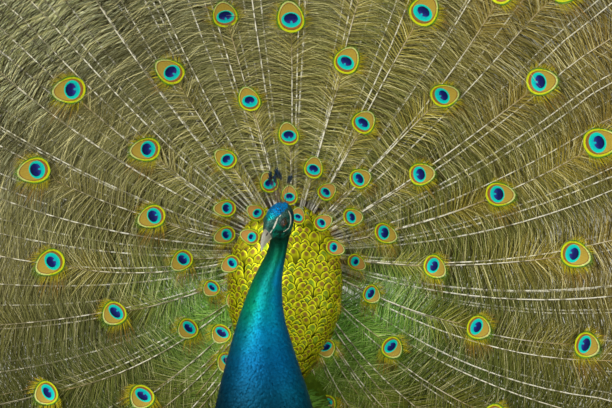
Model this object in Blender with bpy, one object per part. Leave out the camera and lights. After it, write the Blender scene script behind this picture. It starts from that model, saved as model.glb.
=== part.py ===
"""A life-size Indian peacock with its train raised, divided into the parts a person would name.

Metres, +Z up. The bird faces -Y and its left side is +X. Shapes are first made in the bird's own
place, feet on z = 0 and middle plane on x = 0, and the last step slides all of them so that the
origin is at the middle of the base of the whole model's box.
"""

from math import cos, pi, radians, sin, sqrt

import bmesh
import bpy
import numpy as np
from mathutils import Matrix, Vector

# ---- driving dimensions ----
GAP = 0.0003  # between neighbouring solids
BODY_SIDES = 20  # points round a body ring

# Stations of the body from the tail root to the throat, as the bird stands: the dorsal point (y, z),
# the ventral point (y, z), half the width, and how far the station leans to the bird's left.
BODY_STATIONS = (
    ((0.152, 0.668), (0.196, 0.655), 0.036, 0.000),  # tail root
    ((0.122, 0.590), (0.212, 0.560), 0.056, 0.000),  # raised rump
    ((0.096, 0.520), (0.198, 0.450), 0.075, 0.000),  # rump
    ((0.060, 0.488), (0.140, 0.345), 0.088, 0.000),  # lower back, vent
    ((0.000, 0.476), (0.045, 0.272), 0.100, 0.000),  # middle back, belly
    ((-0.055, 0.480), (-0.060, 0.262), 0.101, 0.000),  # back, keel
    ((-0.095, 0.500), (-0.150, 0.305), 0.096, 0.000),  # shoulders, breast
    ((-0.115, 0.530), (-0.203, 0.385), 0.084, 0.000),  # foot of the neck
    ((-0.121, 0.565), (-0.218, 0.465), 0.071, -0.001),  # low neck
    ((-0.120, 0.607), (-0.206, 0.545), 0.053, -0.004),
    ((-0.111, 0.650), (-0.181, 0.615), 0.0360, -0.006),  # middle neck
    ((-0.102, 0.694), (-0.155, 0.676), 0.0240, 0.000),
    ((-0.103, 0.738), (-0.140, 0.723), 0.0160, 0.014),  # throat
    ((-0.120, 0.777), (-0.150, 0.762), 0.0145, 0.021),  # inside the head
)
RUMP_ENDS, NECK_STARTS, NECK_PARTS = 2.6, 7.0, 10.0  # where the body is parted, in stations
BODY_STEP = 0.5  # stations between two rings

# The head in its own frame: x forward, y left, z up, from the point midway between the eyes.
HEAD_AT = Vector((0.016, -0.150, 0.780))
HEAD_TURN, HEAD_NOD = radians(30), radians(27)  # to its right, and down
HEAD_RINGS = (  # forward, height of the middle, half height, half width
    (-0.0400, -0.0020, 0.0040, 0.0040),
    (-0.0365, -0.0015, 0.0105, 0.0100),
    (-0.0265, 0.0005, 0.0175, 0.0158),
    (-0.0120, 0.0010, 0.0210, 0.0186),
    (0.0040, 0.0000, 0.0196, 0.0172),
    (0.0150, -0.0015, 0.0158, 0.0130),
    (0.0235, -0.0035, 0.0120, 0.0095),
    (0.0300, -0.0050, 0.0090, 0.0072),
)
HEAD_SIDES = 16
EYE_RADIUS, EYE_AT = 0.0085, Vector((0.000, 0.0105, 0.0020))
UPPER_BILL = (  # forward, ridge, cutting edge, half width
    (0.0220, 0.0066, -0.0087, 0.0068),
    (0.0290, 0.0042, -0.0094, 0.0056),
    (0.0370, -0.0010, -0.0112, 0.0042),
    (0.0432, -0.0076, -0.0144, 0.0027),
    (0.0470, -0.0138, -0.0178, 0.0014),
    (0.0482, -0.0174, -0.0196, 0.0007),
)
LOWER_BILL = (  # forward, cutting edge, keel, half width
    (0.0220, -0.0091, -0.0149, 0.0062),
    (0.0285, -0.0098, -0.0152, 0.0048),
    (0.0360, -0.0114, -0.0156, 0.0032),
    (0.0412, -0.0140, -0.0168, 0.0018),
)
CREST_ROOT, CREST_LEAN = Vector((-0.0230, 0.0, 0.0155)), radians(18)  # lean back from the head's up
CREST_LENGTH, CREST_SPREAD, CREST_THICK, CREST_STEPS = 0.060, radians(34), 0.006, 8
CREST_ROWS = ((0.033, 0.45), (0.60, 0.45), (0.78, 1.0), (1.0, 1.0))  # share of the length, of the thickness

# Legs, for the left side; the right is its mirror.
HIP, HOCK = Vector((0.058, -0.020, 0.350)), Vector((0.074, 0.042, 0.168))
FOOT_AT = Vector((0.084, -0.012, 0.016))
THIGH_RINGS = ((0.00, 0.058), (0.30, 0.056), (0.60, 0.038), (0.85, 0.021), (1.00, 0.0125))
SHANK_RINGS = ((0.00, 0.0098), (0.08, 0.0100), (0.25, 0.0072), (0.60, 0.0062), (0.88, 0.0074))
THIGH_SIDES, SHANK_SIDES, TOE_SIDES = 14, 10, 8
THIGH_DEEP = 1.12  # how much deeper than wide the thigh is
FOOT_BALL, FOOT_BALL_Z = 0.0112, 0.0085  # the pad under the shank
FOOT_STUB = ((0.94, 0.0082), (1.0, 0.0086))  # shares of the shank, radii
TOES = (  # name, length, bearing outwards from straight ahead, root radius
    ("middle", 0.078, radians(6), 0.0072),
    ("outer", 0.062, radians(46), 0.0064),
    ("inner", 0.058, radians(-34), 0.0066),
    ("hind", 0.030, radians(187), 0.0050),
)
TOE_SHARES, TOE_WIDTHS = (0.0, 0.22, 0.52, 0.80, 1.0), (1.05, 1.0, 0.94, 0.90, 0.66)
TOE_HEIGHTS = (1.05, 0.85, 0.80, 0.58)  # of the line beyond the root, in root radii
CLAW_LENGTH, CLAW_SHARES, CLAW_WIDTHS = 0.015, (0.0, 0.35, 0.7, 1.0), (0.86, 0.72, 0.45, 0.14)
CLAW_FALL, CLAW_TIP_Z = (0.98, 0.72), 0.0012
SPUR_LENGTH, SPUR_LEAN = 0.022, Vector((-0.45, 0.86, 0.12))
SPUR_PATH = (  # share of the length, rise, radius
    (0.09, 0.0000, 0.0046),
    (0.45, 0.0000, 0.0040),
    (0.82, 0.0012, 0.0026),
    (1.36, 0.0042, 0.0008),
)

# Wings, for the left side, as patches of the body's own surface: stations and angles round it.
WING_STATIONS, WING_ANGLES = (3.2, 7.0), (radians(50), radians(112))
WING_THICK, WING_EDGE, WING_CLEAR = 0.013, 0.0025, 0.001
WRIST, WING_TIP = Vector((0.137, 0.018, 0.335)), Vector((0.172, 0.215, 0.145))
QUILL_WIDTH, QUILL_THICK, QUILL_ROLL = 0.052, 0.004, radians(38)

# The shield of scale feathers in front of the train, by height: z, half width, front y, back y.
SHIELD_SLICES = (
    (0.478, 0.012, 0.022, 0.060),
    (0.492, 0.026, 0.008, 0.110),
    (0.520, 0.048, 0.002, 0.124),
    (0.560, 0.071, 0.002, 0.124),
    (0.605, 0.086, 0.012, 0.124),
    (0.650, 0.088, 0.030, 0.124),
    (0.695, 0.082, 0.052, 0.122),
    (0.732, 0.062, 0.076, 0.118),
    (0.757, 0.034, 0.094, 0.114),
    (0.766, 0.012, 0.102, 0.111),
)
SHIELD_SIDES = 20

# The train is a dish about this point. Radii are as seen from in front.
TRAIN_AT = Vector((0.0, 0.146, 0.688))
TRAIN_SPAN, TRAIN_INNER = radians(160), 0.032
TRAIN_SECTORS, TIPS_EACH, TRAIN_THICK = 10, 4, 0.0024
TRAIN_TOP, TRAIN_LOW, TIP_DEPTH = 1.13, 0.82, 0.030  # rim radius above and lowest, and a tip's rise
DISH_SLOPE, DISH_HEART, DISH_EASE = 0.31, 0.08, 0.04
SWEEP = 0.12  # how much of its bearing a low feather loses on the way out

# The tail, a smaller fan behind the train.
TAIL_AT = Vector((0.0, 0.186, 0.625))
TAIL_SPAN, TAIL_INNER, TAIL_OUTER, TAIL_LEAN = radians(78), 0.046, 0.43, 0.20
TAIL_TIPS, TAIL_TIP_DEPTH, TAIL_THICK = 9, 0.016, 0.003

COLOURS = {  # base colour, roughness
    "plumage_blue": ((0.010, 0.130, 0.420), 0.45),
    "plumage_dark": ((0.020, 0.060, 0.050), 0.60),
    "plumage_gold": ((0.420, 0.400, 0.030), 0.45),
    "plumage_train": ((0.170, 0.180, 0.060), 0.55),
    "plumage_brown": ((0.150, 0.110, 0.075), 0.70),
    "plumage_barred": ((0.360, 0.300, 0.220), 0.70),
    "plumage_rufous": ((0.400, 0.170, 0.060), 0.65),
    "plumage_buff": ((0.360, 0.290, 0.200), 0.75),
    "horn": ((0.420, 0.380, 0.330), 0.40),
    "leg_skin": ((0.330, 0.290, 0.240), 0.60),
    "eye": ((0.060, 0.020, 0.008), 0.05),
}


# ---- small tools ----
def material(name):
    """The named finish, made the first time it is asked for."""
    found = bpy.data.materials.get(name)
    if found:
        return found
    colour, roughness = COLOURS[name]
    made = bpy.data.materials.new(name)
    made.use_nodes = True
    shader = made.node_tree.nodes["Principled BSDF"]
    shader.inputs["Base Color"].default_value = (*colour, 1.0)
    shader.inputs["Roughness"].default_value = roughness
    made.diffuse_color = (*colour, 1.0)
    return made


def as_object(name, bm, finish, matrix=None):
    """A bmesh as a named object in the scene, its faces turned outwards."""
    bmesh.ops.recalc_face_normals(bm, faces=bm.faces)
    mesh = bpy.data.meshes.new(name)
    bm.to_mesh(mesh)
    bm.free()
    mesh.shade_smooth()
    made = bpy.data.objects.new(name, mesh)
    made.data.materials.append(material(finish))
    bpy.context.scene.collection.objects.link(made)
    if matrix is not None:
        made.matrix_world = matrix
    return made


def loft(name, rings, finish, matrix=None):
    """A closed solid through rings of as many points each, with flat ends."""
    bm = bmesh.new()
    loops = [[bm.verts.new(point) for point in ring] for ring in rings]
    for near, far in zip(loops, loops[1:]):
        for i in range(len(near)):
            j = (i + 1) % len(near)
            bm.faces.new((near[i], near[j], far[j], far[i]))
    bm.faces.new(loops[0])
    bm.faces.new(loops[-1])
    return as_object(name, bm, finish, matrix)


def panel(name, front, back, finish):
    """A closed plate between two grids of points with the same rows and columns."""
    bm = bmesh.new()
    sides = [[[bm.verts.new(point) for point in row] for row in grid] for grid in (front, back)]
    rows, columns = len(front), len(front[0])
    for grid in sides:
        for r in range(rows - 1):
            for c in range(columns - 1):
                bm.faces.new((grid[r][c], grid[r][c + 1], grid[r + 1][c + 1], grid[r + 1][c]))
    rim = [(0, c) for c in range(columns)] + [(r, columns - 1) for r in range(1, rows)]
    rim += [(rows - 1, c) for c in range(columns - 2, -1, -1)] + [(r, 0) for r in range(rows - 2, 0, -1)]
    for (r, c), (q, d) in zip(rim, rim[1:] + rim[:1]):
        bm.faces.new((sides[0][r][c], sides[0][q][d], sides[1][q][d], sides[1][r][c]))
    return as_object(name, bm, finish)


def oval(middle, across, along, sides):
    """Points of an ellipse with these two half axes."""
    turns = [2 * pi * i / sides for i in range(sides)]
    return [middle + across * sin(turn) + along * cos(turn) for turn in turns]


def tube(name, path, radii, sides, finish, flatten=1.0):
    """A tapering rod along a path of points. flatten narrows it upwards."""
    rings = []
    for i, point in enumerate(path):
        ahead = path[min(i + 1, len(path) - 1)] - path[max(i - 1, 0)]
        across = ahead.cross(Vector((0, 0, 1)))
        across = across.normalized() if across.length > 1e-6 else Vector((1, 0, 0))
        up = across.cross(ahead).normalized()
        rings.append(oval(point, across * radii[i], up * radii[i] * flatten, sides))
    return loft(name, rings, finish)


def hide(tool):
    """Marks a cutter, which isn't part of the model."""
    tool.hide_render = True
    tool.display_type = "WIRE"
    return tool


def combine(made, tool, operation):
    """A Boolean with a hidden tool, kept as a modifier."""
    cut = made.modifiers.new(f"{operation.lower()}_{tool.name}", "BOOLEAN")
    cut.operation, cut.object = operation, hide(tool)
    return made


def mirrored(point):
    return Vector((-point.x, point.y, point.z))


def spline(values, t):
    """The Catmull-Rom curve through evenly spaced rows of numbers, at t in rows."""
    rows = np.asarray(values, float)
    i = int(min(max(np.floor(t), 0), len(rows) - 2))
    a, b, c, d = (rows[min(max(i + k, 0), len(rows) - 1)] for k in (-1, 0, 1, 2))
    s = t - i
    return 0.5 * (2 * b + (c - a) * s + (2 * a - 5 * b + 4 * c - d) * s**2 + (3 * b - a - 3 * c + d) * s**3)


# ---- body ----
BODY_ROWS = [(*top, *low, width, lean) for top, low, width, lean in BODY_STATIONS]


def body_ring(t, grow=0.0, angles=None):
    """The body's ring at station t: an oval between its dorsal and ventral points, fuller below."""
    top_y, top_z, low_y, low_z, width, lean = spline(BODY_ROWS, t)
    top, low = Vector((lean, top_y, top_z)), Vector((lean, low_y, low_z))
    along, middle = (top - low) / 2, (top + low) / 2
    along *= 1 + grow / along.length
    if angles is None:
        angles = [2 * pi * i / BODY_SIDES for i in range(BODY_SIDES)]
    return [
        middle + Vector((sin(a) * (width + grow) * (1 - 0.06 * cos(a)), 0, 0)) + along * cos(a) for a in angles
    ]


def stations(start, end):
    """Evenly spaced stations of a stretch of the body, its two cuts included."""
    count = max(2, round((end - start) / BODY_STEP))
    return [start + (end - start) * i / count for i in range(count + 1)]


def body_part(name, start, end, finish):
    """The stretch of the body between two stations, short of each cut by half the gap."""
    rings = [body_ring(t) for t in stations(start, end)]
    for ring, inner in ((rings[0], rings[1]), (rings[-1], rings[-2])):
        ahead = (sum(inner, Vector()) - sum(ring, Vector())).normalized() * GAP / 2
        for point in ring:
            point += ahead
    return loft(name, rings, finish)


def grown_body(name):
    """The body from tail to low neck in one piece, larger by the gap, to cut what sits on it."""
    shared = stations(0.0, RUMP_ENDS) + stations(RUMP_ENDS, NECK_STARTS)[1:]
    shared += stations(NECK_STARTS, NECK_PARTS)[1:3]
    return loft(name, [body_ring(t, GAP) for t in shared], "plumage_dark")


def build_body():
    last = len(BODY_STATIONS) - 1
    body_part("rump", 0.0, RUMP_ENDS, "plumage_dark")
    body_part("trunk", RUMP_ENDS, NECK_STARTS, "plumage_dark")
    body_part("neck_lower", NECK_STARTS, NECK_PARTS, "plumage_blue")
    neck = body_part("neck_upper", NECK_PARTS, last, "plumage_blue")
    combine(neck, head_solid("head_room", GAP), "DIFFERENCE")


# ---- head ----
def head_frame():
    """The head's own frame in the world: x forward, y left, z up."""
    forward = Vector((-sin(HEAD_TURN) * cos(HEAD_NOD), -cos(HEAD_TURN) * cos(HEAD_NOD), -sin(HEAD_NOD)))
    left = Vector((cos(HEAD_TURN), -sin(HEAD_TURN), 0))
    up = forward.cross(left)
    return Matrix.Translation(HEAD_AT) @ Matrix((forward, left, up)).transposed().to_4x4()


def head_solid(name, grow=0.0):
    rings = []
    for i, (ahead, middle, half_height, half_width) in enumerate(HEAD_RINGS):
        ahead += grow * (-1 if i == 0 else 1 if i == len(HEAD_RINGS) - 1 else 0)
        rings.append(
            oval(
                Vector((ahead, 0, middle)),
                Vector((0, half_width + grow, 0)),
                Vector((0, 0, half_height + grow)),
                HEAD_SIDES,
            )
        )
    return loft(name, rings, "plumage_blue", head_frame())


def eyeball(name, side, radius):
    bm = bmesh.new()
    bmesh.ops.create_uvsphere(bm, u_segments=16, v_segments=8, radius=radius)
    place = head_frame() @ Matrix.Translation((EYE_AT.x, EYE_AT.y * side, EYE_AT.z))
    return as_object(name, bm, "eye", place)


def bill_half(name, rows, crown):
    """One half of the bill. Its section is flat at the cutting edge and round at the ridge or keel."""
    rings = []
    for ahead, above, below, half_width in rows:
        edge, ridge = (below, above) if crown else (above, below)
        turns = [pi * i / 8 for i in range(9)]
        rings.append([Vector((ahead, half_width * cos(a), edge + (ridge - edge) * sin(a) ** 0.8)) for a in turns])
    return loft(name, rings, "horn", head_frame())


def crest_solid():
    """A thin fan on the middle plane of the head, from a narrow foot out to the feather tips."""
    bearings = [CREST_LEAN + CREST_SPREAD * (2 * i / CREST_STEPS - 1) for i in range(CREST_STEPS + 1)]
    grids = []
    for side in (0.5, -0.5):
        rows = []
        for share, thick in CREST_ROWS:
            reach, half = CREST_LENGTH * share, CREST_THICK * thick * side
            rows.append([CREST_ROOT + Vector((-sin(b) * reach, half, cos(b) * reach)) for b in bearings])
        grids.append(rows)
    made = panel("crest", grids[0], grids[1], "plumage_blue")
    made.matrix_world = head_frame()
    return made


def build_head():
    head = head_solid("head")
    for side, word in ((1, "left"), (-1, "right")):
        eyeball(f"eye_{word}", side, EYE_RADIUS)
        combine(head, eyeball(f"socket_{word}", side, EYE_RADIUS + GAP), "DIFFERENCE")
    room = head_solid("bill_room", GAP)
    combine(bill_half("bill_upper", UPPER_BILL, True), room, "DIFFERENCE")
    combine(bill_half("bill_lower", LOWER_BILL, False), room, "DIFFERENCE")
    combine(crest_solid(), room, "DIFFERENCE")


# ---- legs ----
def sided(point, side):
    return point if side > 0 else mirrored(point)


def toe_path(length, bearing, side, radius):
    """A toe's line along the floor, from under the shank out to the claw."""
    ahead = Vector((sin(bearing) * side, -cos(bearing), 0))
    root = sided(FOOT_AT, side)
    heights = [root.z] + [radius * height for height in TOE_HEIGHTS]
    return [Vector((root.x, root.y, 0)) + ahead * length * s + Vector((0, 0, h)) for s, h in zip(TOE_SHARES, heights)]


def build_foot(side, word):
    """The toes joined under the shank, flat where they meet the floor, with a claw at the end of each."""
    root = sided(FOOT_AT, side)
    bm = bmesh.new()
    bmesh.ops.create_uvsphere(bm, u_segments=10, v_segments=6, radius=FOOT_BALL)
    foot = as_object(f"foot_{word}", bm, "leg_skin", Matrix.Translation((root.x, root.y, FOOT_BALL_Z)))
    end, radius = SHANK_RINGS[-1]
    stub_rings = ((end + GAP / (HOCK - FOOT_AT).length, radius), *FOOT_STUB)
    stub = shank_points(side, *zip(*stub_rings))
    combine(foot, tube(f"stub_{word}", *stub, SHANK_SIDES, "leg_skin"), "UNION")
    for toe, length, bearing, radius in TOES:
        path = toe_path(length, bearing, side, radius)
        radii = [radius * share for share in TOE_WIDTHS]
        combine(foot, tube(f"toe_{toe}_{word}", path, radii, TOE_SIDES, "leg_skin"), "UNION")
        build_claw(f"claw_{toe}_{word}", path, radii[-1])
    bm = bmesh.new()
    bmesh.ops.create_cube(bm, size=1.0)
    floor = as_object(f"floor_{word}", bm, "leg_skin", Matrix.Translation((root.x, root.y, -0.5)))
    combine(foot, floor, "DIFFERENCE")


def build_claw(name, path, radius):
    """A blunt curved claw from the toe's end down to just above the floor."""
    ahead = (path[-1] - path[-2]).normalized()
    start = path[-1] + ahead * GAP * 1.5
    line = [start + ahead * CLAW_LENGTH * share for share in CLAW_SHARES]
    for point, height in zip(line[1:], [start.z * fall for fall in CLAW_FALL] + [CLAW_TIP_Z]):
        point.z = height
    tube(name, line, [radius * width for width in CLAW_WIDTHS], TOE_SIDES, "horn")


def shank_points(side, shares, radii):
    hock, foot = sided(HOCK, side), sided(FOOT_AT, side)
    return [hock.lerp(foot, share) for share in shares], list(radii)


def build_leg(side, word):
    hip, hock = sided(HIP, side), sided(HOCK, side)
    path = [hip.lerp(hock, share) for share, _ in THIGH_RINGS]
    radii = [radius for _, radius in THIGH_RINGS]
    thigh = tube(f"thigh_{word}", path, radii, THIGH_SIDES, "plumage_buff", flatten=THIGH_DEEP)
    combine(thigh, grown_body(f"thigh_room_{word}"), "DIFFERENCE")
    combine(thigh, wing_solid(f"wing_room_{word}", side, GAP * 2, WING_THICK * 3), "DIFFERENCE")
    shares = [share for share, _ in SHANK_RINGS]
    shares[0] = GAP / (hock - sided(FOOT_AT, side)).length + 0.002
    line, widths = shank_points(side, shares, [radius for _, radius in SHANK_RINGS])
    cut = path[-1] + (path[-1] - path[-2]).normalized() * GAP
    line[0] = line[0] + (cut - line[0]) * 0.5
    shank = tube(f"shank_{word}", line, widths, SHANK_SIDES, "leg_skin")
    room = tube(f"hock_room_{word}", path, [r + GAP for r in radii], THIGH_SIDES, "leg_skin", flatten=THIGH_DEEP)
    combine(shank, room, "DIFFERENCE")
    build_spur(side, word, line, widths)
    build_foot(side, word)


def build_spur(side, word, line, widths):
    """The cock's spur, on the back and inner side of the shank."""
    root = line[2].lerp(line[3], 0.75)
    ahead = sided(SPUR_LEAN, side).normalized()
    path = [root + ahead * SPUR_LENGTH * share + Vector((0, 0, rise)) for share, rise, _ in SPUR_PATH]
    spur = tube(f"spur_{word}", path, [radius for _, _, radius in SPUR_PATH], TOE_SIDES, "horn")
    room = tube(f"spur_room_{word}", line, [width + GAP for width in widths], SHANK_SIDES, "leg_skin")
    combine(spur, room, "DIFFERENCE")


# ---- wings ----
def body_normal(t, a):
    """The outward direction of the body's surface at station t and angle a."""
    step = 0.02
    here = body_ring(t, angles=(a - step, a + step))
    along = body_ring(t + step, angles=(a,))[0] - body_ring(t - step, angles=(a,))[0]
    return (here[1] - here[0]).cross(along).normalized() * -1


def wing_solid(name, side, grow=0.0, deep=0.0):
    """The folded arm and its coverts, a shell on the flank that is thickest in the middle."""
    rows, columns = 9, 7
    middle, half = (WING_ANGLES[0] + WING_ANGLES[1]) / 2, (WING_ANGLES[1] - WING_ANGLES[0]) / 2 + grow * 10
    inner, outer = [], []
    for r in range(rows):
        run = 2 * r / (rows - 1) - 1
        t = (WING_STATIONS[0] + WING_STATIONS[1]) / 2
        t += ((WING_STATIONS[1] - WING_STATIONS[0]) / 2 + grow * 20) * run
        row_in, row_out = [], []
        for c in range(columns):
            share = 2 * c / (columns - 1) - 1
            a = middle + half * share * (1 - 0.45 * run**4)
            point, normal = body_ring(t, angles=(a,))[0], body_normal(t, a)
            full = (1 - run**4) * (1 - share**4)
            row_in.append(sided(point + normal * (WING_CLEAR - grow), side))
            row_out.append(sided(point + normal * (WING_CLEAR + WING_EDGE + WING_THICK * full + deep), side))
        inner.append(row_in)
        outer.append(row_out)
    return panel(name, outer, inner, "plumage_barred")


def build_quills(side, word):
    """The drooped flight feathers, a thin blade from the wrist down and back."""
    steps, columns = 7, 4
    ahead = WING_TIP - WRIST
    across = ahead.cross(Vector((1, 0, 0))).normalized() * cos(QUILL_ROLL) + Vector((sin(QUILL_ROLL), 0, 0))
    through = across.cross(ahead).normalized()
    grids = []
    for face in (0.5, -0.5):
        rows = []
        for r in range(steps):
            s = r / (steps - 1)
            half = QUILL_WIDTH * (0.55 + 0.45 * sin(pi * min(1.0, 0.25 + 0.6 * s))) * (1 - 0.72 * s**4)
            middle = WRIST + ahead * s + Vector((0.010 * sin(pi * s), 0, 0))
            row = []
            for c in range(columns):
                share = 2 * c / (columns - 1) - 1
                bow = through * (0.008 * (1 - share**2) + QUILL_THICK * face)
                row.append(sided(middle + across * half * share + bow, side))
            rows.append(row)
        grids.append(rows)
    panel(f"flight_feathers_{word}", grids[0], grids[1], "plumage_rufous")


# ---- shield, train and tail ----
def build_shield():
    """The dome of small golden scale feathers that stands on the back in front of the train."""
    rings = []
    for z, half_width, front, back in SHIELD_SLICES:
        middle = Vector((0, (front + back) / 2, z))
        rings.append(oval(middle, Vector((half_width, 0, 0)), Vector((0, (back - front) / 2, 0)), SHIELD_SIDES))
    shield = loft("shield", rings, "plumage_gold")
    combine(shield, grown_body("shield_room"), "DIFFERENCE")


def dish(radius, bearing, depth=0.0):
    """A point of the train's dish: bearing is from straight up towards the bird's left."""
    swept = bearing * (1 - SWEEP * min(1.0, max(0.0, (radius - 0.10) / 0.45)))
    forward = DISH_SLOPE * (sqrt(radius**2 + DISH_HEART**2) - DISH_HEART) - DISH_EASE * radius**2
    return TRAIN_AT + Vector((radius * sin(swept), depth - forward, radius * cos(swept)))


def rim_radius(bearing):
    """How far the longest feathers reach: less for the low ones, which clear the floor."""
    low = max(0.0, (abs(bearing) / TRAIN_SPAN - 0.55) / 0.45)
    return TRAIN_TOP + (TRAIN_LOW - TRAIN_TOP) * low**1.5


def build_train():
    """The raised train in sectors, each a thin piece of the dish with a feather tip at every scallop."""
    span = 2 * TRAIN_SPAN / TRAIN_SECTORS
    columns = 2 * TIPS_EACH + 1
    shares = (0.0, 0.07, 0.16, 0.28, 0.42, 0.57, 0.72, 0.87, 1.0)
    for sector in range(TRAIN_SECTORS):
        start = -TRAIN_SPAN + span * sector
        grids = []
        for face in (-TRAIN_THICK / 2, TRAIN_THICK / 2):
            rows = []
            for share in shares:
                row = []
                for c in range(columns):
                    bearing = start + span * c / (columns - 1)
                    rim = rim_radius(bearing) - (TIP_DEPTH if c % 2 == 0 else 0.0) * share**6
                    radius = TRAIN_INNER + (rim - TRAIN_INNER) * share
                    inset = GAP / radius * (1 if c == 0 else -1 if c == columns - 1 else 0)
                    row.append(dish(radius, bearing + inset, face))
                rows.append(row)
            grids.append(rows)
        train = panel(f"train_{sector + 1:02d}", grids[0], grids[1], "plumage_train")
        if sector in (0, TRAIN_SECTORS - 1):
            combine(train, grown_body(f"train_room_{sector + 1:02d}"), "DIFFERENCE")


def build_tail():
    """The stiff brown tail feathers that prop the train from behind."""
    columns = 2 * TAIL_TIPS + 1
    grids = []
    for face in (-TAIL_THICK / 2, TAIL_THICK / 2):
        rows = []
        for share in (0.0, 0.25, 0.55, 0.8, 1.0):
            row = []
            for c in range(columns):
                bearing = -TAIL_SPAN + 2 * TAIL_SPAN * c / (columns - 1)
                reach = TAIL_OUTER - (TAIL_TIP_DEPTH if c % 2 == 0 else 0.0) * share**6
                radius = TAIL_INNER + (reach - TAIL_INNER) * share
                rise = radius * cos(bearing)
                row.append(TAIL_AT + Vector((radius * sin(bearing), face - TAIL_LEAN * rise, rise)))
            rows.append(row)
        grids.append(rows)
    tail = panel("tail", grids[0], grids[1], "plumage_brown")
    combine(tail, grown_body("tail_room"), "DIFFERENCE")


# ---- the whole bird ----
def settle():
    """Slides the model so that the origin is at the middle of the base of its box."""
    bpy.context.view_layer.update()
    corners = [
        made.matrix_world @ Vector(corner)
        for made in bpy.context.scene.objects
        if not made.hide_render
        for corner in made.bound_box
    ]
    low = Vector([min(corner[axis] for corner in corners) for axis in range(3)])
    high = Vector([max(corner[axis] for corner in corners) for axis in range(3)])
    slide = Vector((-(low.x + high.x) / 2, -(low.y + high.y) / 2, 0))
    for made in bpy.context.scene.objects:
        made.matrix_world = Matrix.Translation(slide) @ made.matrix_world


def main():
    for old in list(bpy.data.objects):
        bpy.data.objects.remove(old)
    build_body()
    build_head()
    for side, word in ((1, "left"), (-1, "right")):
        build_leg(side, word)
        wing_solid(f"wing_{word}", side)
        build_quills(side, word)
    build_shield()
    build_train()
    build_tail()
    settle()


main()
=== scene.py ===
"""A displaying peacock, life size: skin, plumage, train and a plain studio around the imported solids."""
from math import cos, pi, radians, sin, tan, tau

import bpy
import numpy as np
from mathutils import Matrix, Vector
from bpy.props import FloatProperty, FloatVectorProperty, IntProperty, PointerProperty


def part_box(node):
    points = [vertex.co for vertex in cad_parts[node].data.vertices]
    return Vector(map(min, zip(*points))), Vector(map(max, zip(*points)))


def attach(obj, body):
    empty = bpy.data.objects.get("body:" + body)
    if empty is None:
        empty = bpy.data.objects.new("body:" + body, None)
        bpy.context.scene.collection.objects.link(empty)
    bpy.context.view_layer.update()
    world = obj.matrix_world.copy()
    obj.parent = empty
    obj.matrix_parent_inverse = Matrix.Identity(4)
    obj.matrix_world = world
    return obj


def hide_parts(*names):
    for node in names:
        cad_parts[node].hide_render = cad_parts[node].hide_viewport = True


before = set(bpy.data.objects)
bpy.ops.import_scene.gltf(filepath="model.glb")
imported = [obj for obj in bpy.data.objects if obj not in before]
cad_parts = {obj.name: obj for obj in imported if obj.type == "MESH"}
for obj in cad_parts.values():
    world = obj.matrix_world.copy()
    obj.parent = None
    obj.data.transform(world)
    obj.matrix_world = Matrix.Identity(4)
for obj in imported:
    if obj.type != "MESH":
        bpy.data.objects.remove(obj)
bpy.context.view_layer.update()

bl_info = {
    "name": "Displaying peacock",
    "version": (1, 0, 0),
    "blender": (4, 5, 0),
    "location": "3D View > Sidebar > Peacock",
    "description": "Skin, feathers, train and studio for a life-size displaying peacock",
    "category": "Object",
}

# ---- sizes shared with the solids, in metres, in the bird's own frame: it faces -Y, its left is +X ----
BODY_STATIONS = (  # top (y, z), underside (y, z), half width, lean to the left
    ((0.152, 0.668), (0.196, 0.655), 0.036, 0.0),
    ((0.122, 0.590), (0.212, 0.560), 0.056, 0.0),
    ((0.096, 0.520), (0.198, 0.450), 0.075, 0.0),
    ((0.060, 0.488), (0.140, 0.345), 0.088, 0.0),
    ((0.000, 0.476), (0.045, 0.272), 0.100, 0.0),
    ((-0.055, 0.480), (-0.060, 0.262), 0.101, 0.0),
    ((-0.095, 0.500), (-0.150, 0.305), 0.096, 0.0),
    ((-0.115, 0.530), (-0.203, 0.385), 0.084, 0.0),
    ((-0.121, 0.565), (-0.218, 0.465), 0.071, -0.001),
    ((-0.120, 0.607), (-0.206, 0.545), 0.053, -0.004),
    ((-0.111, 0.650), (-0.181, 0.615), 0.036, -0.006),
    ((-0.102, 0.694), (-0.155, 0.676), 0.024, 0.000),
    ((-0.103, 0.738), (-0.140, 0.723), 0.016, 0.014),
)
# Top (forward, up), underside (forward, up), half width, offset to the left, in the head's frame
HEAD_STATIONS = (
    ((-0.0300, -0.0240), (0.0040, -0.0360), 0.0162, -0.009),
    ((-0.0375, -0.0060), (0.0040, -0.0255), 0.0172, -0.002),
    ((-0.0360, 0.0090), (0.0075, -0.0205), 0.0182, 0.0),
    ((-0.0270, 0.0185), (0.0095, -0.0185), 0.0186, 0.0),
    ((-0.0130, 0.0222), (0.0115, -0.0176), 0.0180, 0.0),
    ((0.0010, 0.0200), (0.0140, -0.0170), 0.0160, 0.0),
    ((0.0125, 0.0150), (0.0175, -0.0165), 0.0128, 0.0),
    ((0.0215, 0.0095), (0.0215, -0.0162), 0.0095, 0.0),
    ((0.0265, 0.0055), (0.0245, -0.0150), 0.0070, 0.0),
)
NECK_TURNS = {11: 5.0, 12: 12.0, 13: 22.0}  # degrees of yaw where the neck takes up the head's turn
SIDES = ((1, "left"), (-1, "right"))
DOWN = np.array((0.0, 0.0, -1.0))
THROAT = 13.0  # station where the head starts
BILL_BASE = float(len(BODY_STATIONS) + len(HEAD_STATIONS) - 1)
HEAD_AT = np.array((0.016, -0.150, 0.780))
HEAD_TURN, HEAD_NOD = radians(30), radians(27)
EYE_RADIUS = 0.0085
EYE_AT = np.array((0.0, 0.0105, 0.0020))  # forward, left, up
LID_HALF = (0.0066, 0.0049)  # half length and half height of the eye's opening
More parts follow.
